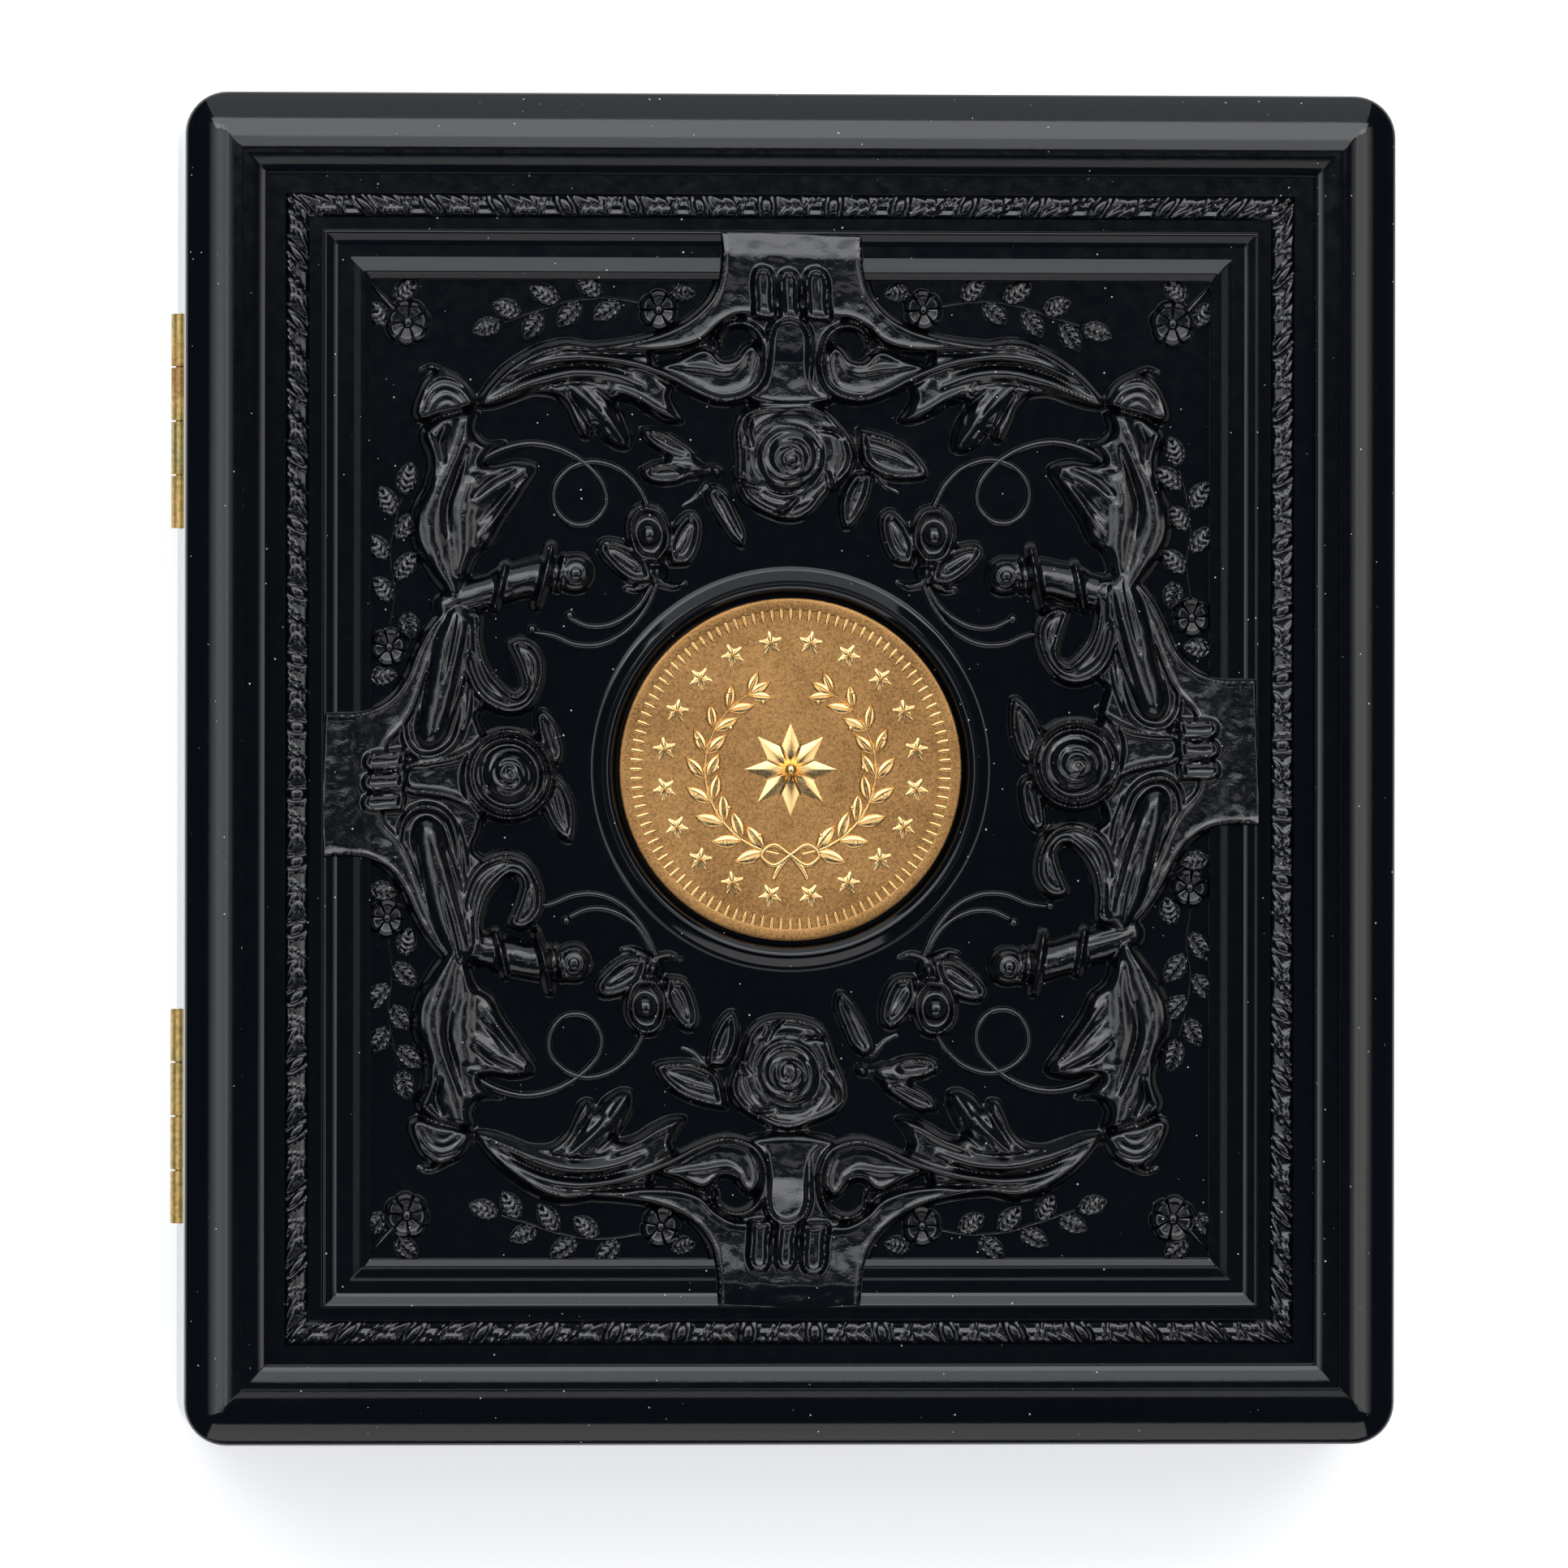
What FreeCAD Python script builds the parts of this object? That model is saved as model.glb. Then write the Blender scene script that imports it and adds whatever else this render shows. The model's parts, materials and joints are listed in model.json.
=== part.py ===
import FreeCAD, Part
import math
import os
from types import SimpleNamespace

import Sketcher

# Hinged moulded case for a set of coins, lid closed, lying on its back.
# X runs from the hinge side to the opening side, Y along the hinges, Z up, millimetres.
# The origin is the middle of the plane that the case rests on.

SIZES = {
    # Plan and heights of the two halves
    "case_width": 95.4,
    "case_length": 106.3,
    "corner_radius": 3.3,
    "cover_height": 6.1,
    "rim_height": 6.4,
    "parting_gap": 0.1,
    # Mouldings of a cover, each placed by its distance from the outer edge
    "roll_radius": 2.7,
    "ledge_inset": 4.4,
    "ledge_drop": 0.9,
    "ledge_round": 0.75,
    "gutter_inset": 6.4,
    "panel_drop": 3.1,
    "gutter_round": 1.0,
    "band_inset": 7.9,
    "band_width": 1.75,
    "band_height": 1.1,
    "band_round": 0.7,
    "frame_inset": 10.8,
    "frame_width": 3.3,
    "frame_height": 0.9,
    "frame_bevel": 0.7,
    "ridge_width": 0.7,
    "ridge_height": 0.3,
    # Straps that cross the inner frame of the lid
    "strap_width": 11.5,
    "strap_length": 6.4,
    "strap_height": 1.8,
    "strap_round": 0.4,
    # Carved relief on the panel of the lid
    "relief_root": 0.4,
    "left_side_shift": -1.15,
    "right_side_shift": 1.35,
    # Coin in the lid, its recess and the ring round it
    "lid_coin_radius": 13.5,
    "lid_coin_thickness": 2.0,
    "coin_gap": 0.3,
    "coin_recess_depth": 1.9,
    "adhesive_thickness": 0.2,
    "adhesive_margin": 3.0,
    "ring_width": 1.85,
    "ring_height": 0.6,
    "ring_round": 0.45,
    "coin_rim_width": 0.75,
    "coin_rim_height": 0.15,
    # Rims, with the lip that locates the lid
    "wall": 4.4,
    "inner_corner_radius": 2.0,
    "lip_width": 1.0,
    "lip_height": 1.2,
    "lip_clearance": 0.15,
    # Hinges
    "hinge_spacing": 55.0,
    "hinge_length": 16.95,
    "hinge_stand_off": 0.1,
    "barrel_radius": 0.7,
    "barrel_clearance": 0.15,
    "knuckle_gap": 0.15,
    "hinge_pin_radius": 0.35,
    "hinge_pin_clearance": 0.03,
    "leaf_thickness": 0.4,
    "leaf_reach": 3.0,
    "leaf_clearance": 0.1,
    "nail_inset": 1.95,
    "nail_spacing": 6.0,
    "nail_radius": 0.4,
    "nail_length": 3.0,
    "nail_head_radius": 0.65,
    "nail_clearance": 0.02,
    # Catch on the opening side
    "catch_width": 14.0,
    "catch_thickness": 0.4,
    "catch_clearance": 0.12,
    "base_catch_drop": 4.0,
    "base_catch_rise": 2.6,
    "lid_catch_start": 1.4,
    "lid_catch_height": 3.5,
    "rivet_spacing": 9.0,
    "rivet_radius": 0.5,
    "rivet_length": 2.2,
    "rivet_head_radius": 0.9,
    "rivet_head_height": 0.35,
    "base_rivet_drop": 2.4,
    "lid_rivet_rise": 3.9,
    # Tray and capsules in the base
    "tray_clearance": 0.2,
    "tray_height": 5.8,
    "tray_floor": 1.2,
    "tray_round": 0.35,
    "catch_notch_depth": 1.2,
    "capsule_margin": 2.0,
    "capsule_clearance": 0.25,
    "capsule_height": 5.4,
    "capsule_edge": 0.4,
    "capsule_wall": 1.3,
    "capsule_fit": 0.05,
    "coin_fit": 0.1,
    "notch_radius": 4.5,
    "notch_depth": 3.6,
    "large_coin_radius": 19.05,
    "large_capsule_radius": 22.25,
    "large_coin_thickness": 2.8,
    "medium_coin_radius": 15.3,
    "medium_capsule_radius": 18.25,
    "medium_coin_thickness": 2.1,
    "small_coin_radius": 10.8,
    "small_capsule_radius": 13.5,
    "small_coin_thickness": 1.8,
    # Pad in the lid
    "board_thickness": 1.4,
    "board_clearance": 0.3,
    "pad_thickness": 4.4,
    "pad_clearance": 0.8,
    "pad_round": 1.6,
    "pad_corner_radius": 3.0,
    # Length by which a cut runs past the face that it opens
    "overrun": 1.0,
}


class Length:
    """A size from the sheet, or a sum of sizes, with its value and its expression."""

    def __init__(self, value, text):
        self.value = value
        self.text = text

    def joined(self, sign, other, value):
        return Length(value, "(%s %s %s)" % (self.text, sign, expression(other)))

    def __add__(self, other):
        return self.joined("+", other, self.value + number(other))

    def __sub__(self, other):
        return self.joined("-", other, self.value - number(other))

    def __mul__(self, factor):
        return self.joined("*", factor, self.value * factor)

    def __truediv__(self, divisor):
        return self.joined("/", divisor, self.value / divisor)

    def __neg__(self):
        return self * -1


def number(length):
    """The value of a length, or the plain number itself."""
    return length.value if isinstance(length, Length) else length


def expression(length):
    """The expression of a length, or the plain number as text."""
    return length.text if isinstance(length, Length) else repr(length)


os.makedirs("parts", exist_ok=True)
doc = FreeCAD.newDocument("coin_case")
sheet = doc.addObject("Spreadsheet::Sheet", "sizes")
for row, (alias, value) in enumerate(SIZES.items(), start=1):
    sheet.set("A%d" % row, alias)
    sheet.set("B%d" % row, str(value))
    sheet.setAlias("B%d" % row, alias)
doc.recompute()
size = SimpleNamespace(**{name: Length(value, "sizes." + name) for name, value in SIZES.items()})

# Sizes that follow from the named ones
half_width = size.case_width / 2
half_length = size.case_length / 2
half_height = size.cover_height + size.rim_height
split_height = half_height
axis_height = split_height + size.parting_gap / 2
lid_split_height = split_height + size.parting_gap
lid_glue_height = lid_split_height + size.rim_height
panel_level = size.cover_height - size.panel_drop
opening_width = size.case_width - size.wall * 2
opening_length = size.case_length - size.wall * 2
axis_x = -half_width - size.hinge_stand_off
hinge_half = size.hinge_spacing / 2
groove_radius = size.barrel_radius + size.barrel_clearance
recess_radius = size.lid_coin_radius + size.coin_gap
panel_half_width = half_width - size.frame_inset - size.frame_width
panel_half_length = half_length - size.frame_inset - size.frame_width
opening_face = half_width - size.wall
base_catch_face = opening_face - size.catch_thickness
lid_catch_face = opening_face + size.catch_clearance

FLIP = FreeCAD.Rotation(FreeCAD.Vector(1, 0, 0), 180)
HALF_TURN = FreeCAD.Rotation(FreeCAD.Vector(0, 0, 1), 180)
UPRIGHT = FreeCAD.Rotation()
nodes = []


def new_body(label):
    """An empty body that becomes one node."""
    body = doc.addObject("PartDesign::Body", label)
    body.Label = label
    nodes.append(body)
    return body


def place(thing, x, y, z, rotation=UPRIGHT):
    """Put a finished thing at a place bound to the sheet."""
    thing.Placement = FreeCAD.Placement(FreeCAD.Vector(number(x), number(y), number(z)), rotation)
    for axis, length in (("x", x), ("y", y), ("z", z)):
        if isinstance(length, Length):
            thing.setExpression("Placement.Base." + axis, length.text)


def bind(feature, name, length):
    """Tie one property of a feature to the sheet."""
    feature.setExpression(name, expression(length))


def sketch_on(body, role, lift=None):
    """A sketch on one of the body's own planes, lifted along the plane's normal."""
    support = [plane for plane in body.Origin.OriginFeatures if plane.Role == role][0]
    sketch = body.newObject("Sketcher::SketchObject", body.Label + "_sketch")
    sketch.AttachmentSupport = [(support, "")]
    sketch.MapMode = "FlatFace"
    if lift is not None:
        bind(sketch, "AttachmentOffset.Base.z", lift)
    return sketch


def hold(sketch, held):
    """Hold points of a sketch at named distances from the sketch's origin."""
    constraints, lengths = [], []
    for geometry, point, x, y in held:
        for kind, other_axis, length in (("DistanceX", -2, x), ("DistanceY", -1, y)):
            if number(length) == 0:
                constraints.append(Sketcher.Constraint("PointOnObject", geometry, point, other_axis))
            else:
                constraints.append(Sketcher.Constraint(kind, -1, 1, geometry, point, number(length)))
            lengths.append(length)
    first = sketch.ConstraintCount
    sketch.addConstraint(constraints)
    for index, length in enumerate(lengths, start=first):
        if number(length) != 0:
            bind(sketch, "Constraints[%d]" % index, length)


def outline(sketch, points):
    """A closed outline of straight lines through points given in lengths."""
    corners = [FreeCAD.Vector(number(x), number(y), 0) for x, y in points]
    first = sketch.GeometryCount
    count = len(corners)
    sketch.addGeometry([Part.LineSegment(corners[i - 1], corners[i]) for i in range(count)], False)
    links = [(first + i, 2, first + (i + 1) % count, 1) for i in range(count)]
    sketch.addConstraint([Sketcher.Constraint("Coincident", *link) for link in links])
    hold(sketch, [(first + i, 2, x, y) for i, (x, y) in enumerate(points)])


def rectangle(sketch, low_x, low_y, high_x, high_y):
    """A rectangle between two corners."""
    outline(sketch, [(low_x, low_y), (high_x, low_y), (high_x, high_y), (low_x, high_y)])


def centred_rectangle(sketch, width, length):
    """A rectangle about the sketch's origin."""
    rectangle(sketch, -width / 2, -length / 2, width / 2, length / 2)


def inset_rectangle(sketch, inset):
    """A rectangle that runs round the case at a distance inside its outer edge."""
    centred_rectangle(sketch, size.case_width - inset * 2, size.case_length - inset * 2)


def circle(sketch, radius, x=0, y=0):
    """A circle about a point."""
    shape = Part.Circle(FreeCAD.Vector(number(x), number(y), 0), FreeCAD.Vector(0, 0, 1), number(radius))
    index = sketch.addGeometry(shape, False)
    constraint = sketch.addConstraint(Sketcher.Constraint("Radius", index, number(radius)))
    bind(sketch, "Constraints[%d]" % constraint, radius)
    hold(sketch, [(index, 3, x, y)])


def extrude(kind, body, sketch, length, side="One side", turned=False):
    """A pad or a pocket of a sketch."""
    feature = body.newObject("PartDesign::" + kind, body.Label + "_" + kind.lower())
    feature.Profile = sketch
    feature.SideType = side
    feature.Reversed = turned
    bind(feature, "Length", length)
    doc.recompute()
    return feature


def pad(body, sketch, length, side="One side", turned=False):
    """Material raised from a sketch."""
    return extrude("Pad", body, sketch, length, side, turned)


def pocket(body, sketch, length, side="One side", turned=False):
    """Material cut away below a sketch."""
    return extrude("Pocket", body, sketch, length, side, turned)


def revolve(body, points):
    """A solid turned about the body's Z axis from a profile of radii and heights."""
    sketch = sketch_on(body, "XZ_Plane")
    outline(sketch, points)
    feature = body.newObject("PartDesign::Revolution", body.Label + "_revolution")
    feature.Profile = sketch
    feature.ReferenceAxis = (sketch, ["V_Axis"])
    doc.recompute()
    return feature


def dress(kind, body, size_name, length, test):
    """A fillet or chamfer on the edges of the body that pass a test."""
    base = body.Tip
    edges = ["Edge%d" % (i + 1) for i, edge in enumerate(base.Shape.Edges) if test(edge)]
    feature = body.newObject("PartDesign::" + kind, body.Label + "_" + kind.lower())
    feature.Base = (base, edges)
    bind(feature, size_name, length)
    doc.recompute()
    return feature


def fillet(body, radius, test):
    """Round the edges that pass a test."""
    return dress("Fillet", body, "Radius", radius, test)


def chamfer(body, width, test):
    """Bevel the edges that pass a test."""
    return dress("Chamfer", body, "Size", width, test)


def same(a, b):
    """Whether two lengths are equal within the modelling tolerance."""
    return abs(number(a) - number(b)) < Part.Vertex(FreeCAD.Vector()).Tolerance * 100


def upright(edge):
    """Whether an edge runs along Z."""
    low, high = edge.Vertexes[0].Point, edge.Vertexes[-1].Point
    return same(low.x, high.x) and same(low.y, high.y) and not same(low.z, high.z)


def level(height):
    """A test for edges that lie in the plane at a height."""
    return lambda edge: same(edge.BoundBox.ZMin, height) and same(edge.BoundBox.ZMax, height)


def corner_of(width, length):
    """A test for the upright edges at the corners of a rectangle about the origin."""
    def test(edge):
        point = edge.Vertexes[0].Point
        return upright(edge) and same(abs(point.x), width / 2) and same(abs(point.y), length / 2)
    return test


def on_rectangle(inset, height):
    """A test for the edges of a rectangle round the case at an inset and a height."""
    x, y = half_width - inset, half_length - inset

    def test(edge):
        box = edge.BoundBox
        along_y = same(box.XMin, box.XMax) and same(abs(box.XMin), x)
        along_x = same(box.YMin, box.YMax) and same(abs(box.YMin), y)
        return level(height)(edge) and (along_x or along_y)
    return test


# Covers: the moulded outer shells of the two halves, built with the outer face up

def moulded_cover(label):
    """A cover with its rolled edge, ledge, gutter, band and inner frame round a sunk panel."""
    body = new_body(label)
    blank = sketch_on(body, "XY_Plane")
    centred_rectangle(blank, size.case_width, size.case_length)
    pad(body, blank, size.cover_height)
    fillet(body, size.corner_radius, upright)
    fillet(body, size.roll_radius, level(size.cover_height))
    ledge_level = size.cover_height - size.ledge_drop
    ledge = sketch_on(body, "XY_Plane", size.cover_height)
    inset_rectangle(ledge, size.ledge_inset)
    pocket(body, ledge, size.ledge_drop)
    gutter = sketch_on(body, "XY_Plane", ledge_level)
    inset_rectangle(gutter, size.gutter_inset)
    pocket(body, gutter, size.panel_drop - size.ledge_drop)
    fillet(body, size.ledge_round, on_rectangle(size.ledge_inset, size.cover_height))
    fillet(body, size.gutter_round, on_rectangle(size.gutter_inset, ledge_level))
    band = sketch_on(body, "XY_Plane", panel_level)
    inset_rectangle(band, size.band_inset)
    inset_rectangle(band, size.band_inset + size.band_width)
    pad(body, band, size.band_height)
    band_top = panel_level + size.band_height
    fillet(body, size.band_round, on_rectangle(size.band_inset, band_top))
    fillet(body, size.band_round, on_rectangle(size.band_inset + size.band_width, band_top))
    frame = sketch_on(body, "XY_Plane", panel_level)
    inset_rectangle(frame, size.frame_inset)
    inset_rectangle(frame, size.frame_inset + size.frame_width)
    pad(body, frame, size.frame_height)
    frame_top = panel_level + size.frame_height
    chamfer(body, size.frame_bevel, on_rectangle(size.frame_inset + size.frame_width, frame_top))
    ridge = sketch_on(body, "XY_Plane", frame_top)
    inset_rectangle(ridge, size.frame_inset)
    inset_rectangle(ridge, size.frame_inset + size.ridge_width)
    pad(body, ridge, size.ridge_height)
    return body


def add_straps(body):
    """Four straps that cross the inner frame at the middle of each side."""
    reach_y = half_length - size.frame_inset
    reach_x = half_width - size.frame_inset
    half = size.strap_width / 2
    for low_x, low_y, high_x, high_y in (
        (-half, reach_y - size.strap_length, half, reach_y),
        (-half, -reach_y, half, -reach_y + size.strap_length),
        (-reach_x, size.left_side_shift - half, -reach_x + size.strap_length, size.left_side_shift + half),
        (reach_x - size.strap_length, size.right_side_shift - half, reach_x, size.right_side_shift + half),
    ):
        strap = sketch_on(body, "XY_Plane", panel_level)
        rectangle(strap, low_x, low_y, high_x, high_y)
        pad(body, strap, size.strap_height)
    fillet(body, size.strap_round, level(panel_level + size.strap_height))


def add_coin_seat(body):
    """The raised ring round the lid's coin, and the recess that the coin sits in."""
    ring = sketch_on(body, "XY_Plane", panel_level)
    circle(ring, recess_radius + size.ring_width)
    circle(ring, recess_radius)
    pad(body, ring, size.ring_height)
    fillet(body, size.ring_round, level(panel_level + size.ring_height))
    recess = sketch_on(body, "XY_Plane", panel_level)
    circle(recess, recess_radius)
    pocket(body, recess, size.coin_recess_depth)


base_cover = moulded_cover("base_cover")
place(base_cover, 0, 0, size.cover_height, FLIP)

# Carved relief: ridges, turned horns and roses, built apart and then taken in by the lid's cover

# The relief is drawn in shares of a panel of this half width and half length and a strap of this height
panel_width_share = 33.6
panel_length_share = 39.05
strap_height_share = 1.8

# Ridges of one quarter: place, width and height at each section
quarter_shares = {
    "arm": [(5.0, 38.2, 2.6, 1.75), (8.4, 34.4, 3.2, 1.7), (13.5, 32.3, 4.8, 1.55),
            (18.6, 31.6, 4.9, 1.5), (22.6, 30.0, 2.8, 1.1), (24.9, 28.6, 0.6, 0.4)],
    "scroll": [(11.0, 31.2, 1.4, 1.1), (7.0, 30.6, 3.0, 1.5), (3.9, 31.5, 3.2, 1.6), (3.7, 34.2, 2.2, 1.7)],
    "inner_lobe": [(13.2, 30.6, 2.4, 1.2), (10.6, 28.4, 2.3, 1.0), (8.4, 27.3, 0.5, 0.4)],
    "middle_lobe": [(15.8, 30.2, 2.8, 1.3), (14.1, 27.3, 2.8, 1.1), (12.9, 25.1, 0.6, 0.5)],
    "outer_lobe": [(18.6, 30.4, 2.8, 1.3), (17.0, 27.6, 2.4, 1.1), (16.4, 25.8, 0.7, 0.5)],
    "trunk": [(25.8, 28.6, 2.0, 1.3), (26.9, 24.6, 4.4, 1.75), (26.8, 20.4, 5.4, 1.9),
              (26.9, 16.8, 4.4, 1.8), (26.5, 13.2, 1.8, 1.2)],
    "fold": [(24.9, 28.6, 0.8, 0.8), (26.2, 29.8, 2.6, 1.55), (28.3, 29.5, 3.0, 1.7), (29.7, 27.3, 0.8, 0.8)],
    "upper_spur": [(26.2, 22.8, 2.2, 1.4), (24.5, 24.5, 2.2, 1.1), (22.9, 25.9, 0.5, 0.5)],
    "lower_spur": [(26.2, 19.2, 3.4, 1.5), (22.8, 22.4, 3.0, 1.1), (20.4, 23.8, 0.6, 0.5)],
    "bud": [(10.9, 16.4, 1.9, 0.9), (11.4, 18.4, 3.6, 1.3), (11.9, 20.6, 1.5, 0.6)],
    "outer_petal": [(11.2, 15.5, 1.2, 0.8), (13.3, 16.5, 2.4, 0.95), (15.4, 17.7, 0.8, 0.4)],
    "inner_petal": [(10.2, 16.2, 1.2, 0.8), (8.4, 17.8, 2.6, 0.95), (7.4, 19.8, 0.9, 0.4)],
}

# Ridges of half a side and of one end, the same way
side_shares = {
    "flare": [(34.8, 4.6, 2.4, 1.75), (31.6, 5.9, 2.9, 1.7), (29.3, 9.2, 2.8, 1.5), (26.6, 13.4, 1.2, 1.0)],
    "thumb": [(26.4, 13.0, 1.6, 1.3), (27.4, 9.4, 2.6, 1.9), (28.2, 5.8, 2.9, 2.1), (28.5, 2.9, 1.5, 1.4)],
    "hook": [(25.7, 12.2, 1.8, 1.3), (25.1, 8.4, 2.7, 1.65), (23.3, 5.8, 2.7, 1.6),
             (20.8, 5.9, 2.4, 1.4), (20.2, 8.0, 2.4, 1.25), (21.6, 9.8, 0.8, 0.6)],
}
end_shares = {
    "key": [(-0.35, 36.4, 3.9, 1.9), (-0.35, 32.4, 3.8, 1.7), (-0.35, 29.6, 2.4, 1.1)],
}

# Flat top of a ridge as a share of its width
crown_share = 0.42

# Profile of a horn: distances along its axis and radii, then the place and direction of its root
horn_shares = [(0.0, 0.0), (0.0, 1.2), (3.6, 1.3), (4.0, 1.85), (4.8, 1.85), (5.2, 1.45), (6.6, 1.55),
               (7.0, 2.1), (7.9, 2.1), (8.3, 0.9), (8.9, 1.35), (10.0, 1.5), (11.0, 0.9), (11.3, 0.0)]
horn_root_share = (26.4, 13.2)
HORN_HEADING = 168

# Profile of a rose: radii and heights, then the places of the end roses and the size of a side rose
rose_shares = [(5.4, 0.3), (4.9, 0.95), (3.3, 1.1), (2.8, 1.5), (1.5, 1.8), (0.0, 1.85)]
upper_rose_share = (0.2, 24.8)
lower_rose_share = (-0.2, -24.1)
side_rose_share = 22.4
side_rose_spread_share = 0.63


def across(share):
    """A distance across the panel or a width."""
    return panel_half_width * (share / panel_width_share)


def along(share):
    """A distance along the panel."""
    return panel_half_length * (share / panel_length_share)


def raised(share):
    """A height over the panel."""
    return size.strap_height * (share / strap_height_share)


def relief_body(label):
    """An empty body for relief, which is not a node of its own."""
    body = new_body(label)
    nodes.remove(body)
    return body


def aim(sketch, x, y, z, turn_axis, angle):
    """Move a sketch in its own plane's frame to a bound place and turn it there."""
    base = FreeCAD.Vector(number(x), number(y), number(z))
    sketch.AttachmentOffset = FreeCAD.Placement(base, FreeCAD.Rotation(turn_axis, angle))
    for axis, length in (("x", x), ("y", y), ("z", z)):
        bind(sketch, "AttachmentOffset.Base." + axis, length)


def arch_section(body, x, y, heading, width, height):
    """An upright arch across a ridge, rooted below the panel."""
    sketch = sketch_on(body, "XZ_Plane")
    aim(sketch, x, panel_level, -y, FreeCAD.Vector(0, 1, 0), heading - 90)
    foot = -size.relief_root
    half = width / 2
    crown = half * crown_share
    outline(sketch, [(-half, foot), (half, foot), (crown, height), (-crown, height)])
    return sketch


def ridge(body, stations):
    """A ridge lofted through arches that stand across its path."""
    sections = []
    last = len(stations) - 1
    for i, (x, y, width, height) in enumerate(stations):
        before = stations[max(i - 1, 0)]
        after = stations[min(i + 1, last)]
        heading = math.degrees(math.atan2(after[1] - before[1], after[0] - before[0]))
        sections.append(arch_section(body, across(x), along(y), heading, across(width), raised(height)))
    feature = body.newObject("PartDesign::AdditiveLoft", body.Label + "_loft")
    feature.Profile = sections[0]
    feature.Sections = sections[1:]
    feature.Ruled = True
    doc.recompute()


def horn(body):
    """A turned horn that lies half sunk in the panel."""
    sketch = sketch_on(body, "XY_Plane")
    x, y = horn_root_share
    aim(sketch, across(x), along(y), panel_level, FreeCAD.Vector(0, 0, 1), HORN_HEADING)
    outline(sketch, [(across(distance), across(radius)) for distance, radius in horn_shares])
    feature = body.newObject("PartDesign::Revolution", body.Label + "_revolution")
    feature.Profile = sketch
    feature.ReferenceAxis = (sketch, ["H_Axis"])
    doc.recompute()


def mirrored(body, role):
    """The whole body repeated on the other side of one of its planes."""
    plane = [plane for plane in body.Origin.OriginFeatures if plane.Role == role][0]
    feature = body.newObject("PartDesign::Mirrored", body.Label + "_mirrored")
    feature.TransformMode = "Whole shape"
    feature.MirrorPlane = (plane, [""])
    body.Tip = feature
    doc.recompute()


def quarters():
    """The ridges and horns of the four quarters."""
    body = relief_body("quarter_relief")
    for stations in quarter_shares.values():
        ridge(body, stations)
    horn(body)
    mirrored(body, "YZ_Plane")
    mirrored(body, "XZ_Plane")
    return body


def pairs(label, shares, shift=0, rotation=UPRIGHT):
    """Ridges of half a side or of one end, repeated on the other half or end."""
    body = relief_body(label)
    for stations in shares.values():
        ridge(body, stations)
    mirrored(body, "XZ_Plane")
    place(body, 0, shift, 0, rotation)
    return body


def rose(label, x, y, spread=1):
    """A rose turned from a profile of its petal layers."""
    body = relief_body(label)
    points = [(across(radius * spread), panel_level + raised(height)) for radius, height in rose_shares]
    foot = panel_level - size.relief_root
    revolve(body, [(0, foot), (points[0][0], foot)] + points[:-1] + [(0, points[-1][1])])
    place(body, x, y, 0)
    return body


def add_relief(body):
    """Take the relief bodies into the lid's cover."""
    side_rose_x = across(side_rose_share)
    joined = body.newObject("PartDesign::Boolean", body.Label + "_relief")
    joined.addObjects([
        quarters(),
        pairs("end_relief", end_shares),
        pairs("right_relief", side_shares, size.right_side_shift),
        pairs("left_relief", side_shares, size.left_side_shift, HALF_TURN),
        rose("upper_rose", across(upper_rose_share[0]), along(upper_rose_share[1])),
        rose("lower_rose", across(lower_rose_share[0]), along(lower_rose_share[1])),
        rose("right_rose", side_rose_x, size.right_side_shift, side_rose_spread_share),
        rose("left_rose", -side_rose_x, size.left_side_shift, side_rose_spread_share),
    ])
    joined.Type = "Fuse"
    doc.recompute()


lid_cover = moulded_cover("lid_cover")
add_coin_seat(lid_cover)
add_straps(lid_cover)
place(lid_cover, 0, 0, lid_glue_height)
add_relief(lid_cover)


# Rims: the frames under the covers, built with the meeting face up

def rim_blank(label, lip_height=None):
    """A plain rim, rounded outside and inside, with or without a lip round its opening."""
    body = new_body(label)
    blank = sketch_on(body, "XY_Plane")
    centred_rectangle(blank, size.case_width, size.case_length)
    centred_rectangle(blank, opening_width, opening_length)
    pad(body, blank, size.rim_height)
    if lip_height is not None:
        lip = sketch_on(body, "XY_Plane", size.rim_height)
        centred_rectangle(lip, opening_width + size.lip_width * 2, opening_length + size.lip_width * 2)
        centred_rectangle(lip, opening_width, opening_length)
        pad(body, lip, lip_height)
    fillet(body, size.corner_radius, corner_of(size.case_width, size.case_length))
    fillet(body, size.inner_corner_radius, corner_of(opening_width, opening_length))
    return body


def cut_hinge_seats(body):
    """Mortises for the leaves, grooves for the barrels and holes for the nails."""
    half_leaf = size.hinge_length / 2 + size.leaf_clearance
    inner_end = axis_x + size.leaf_reach + size.leaf_clearance
    outer_end = -half_width - size.overrun
    mortise = sketch_on(body, "XY_Plane", size.rim_height)
    for centre in (hinge_half, -hinge_half):
        rectangle(mortise, outer_end, centre - half_leaf, inner_end, centre + half_leaf)
    pocket(body, mortise, size.leaf_thickness)
    for centre in (hinge_half, -hinge_half):
        groove = sketch_on(body, "XZ_Plane", -centre)
        circle(groove, groove_radius, axis_x, size.rim_height + size.parting_gap / 2)
        pocket(body, groove, half_leaf * 2, "Symmetric")
    holes = sketch_on(body, "XY_Plane", size.rim_height)
    for centre in (hinge_half, -hinge_half):
        for step in (-1, 0, 1):
            nail_y = centre + size.nail_spacing * step
            circle(holes, size.nail_radius + size.nail_clearance, axis_x + size.nail_inset, nail_y)
    pocket(body, holes, size.nail_length)


def cut_rivet_holes(body, height, plate_face):
    """Blind holes for the catch's two rivets, which start at the face of the plate that they hold."""
    face = sketch_on(body, "YZ_Plane", plate_face + size.rivet_length)
    for side in (size.rivet_spacing / 2, -size.rivet_spacing / 2):
        circle(face, size.rivet_radius + size.nail_clearance, side, height)
    pocket(body, face, size.rivet_length + size.overrun)


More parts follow.
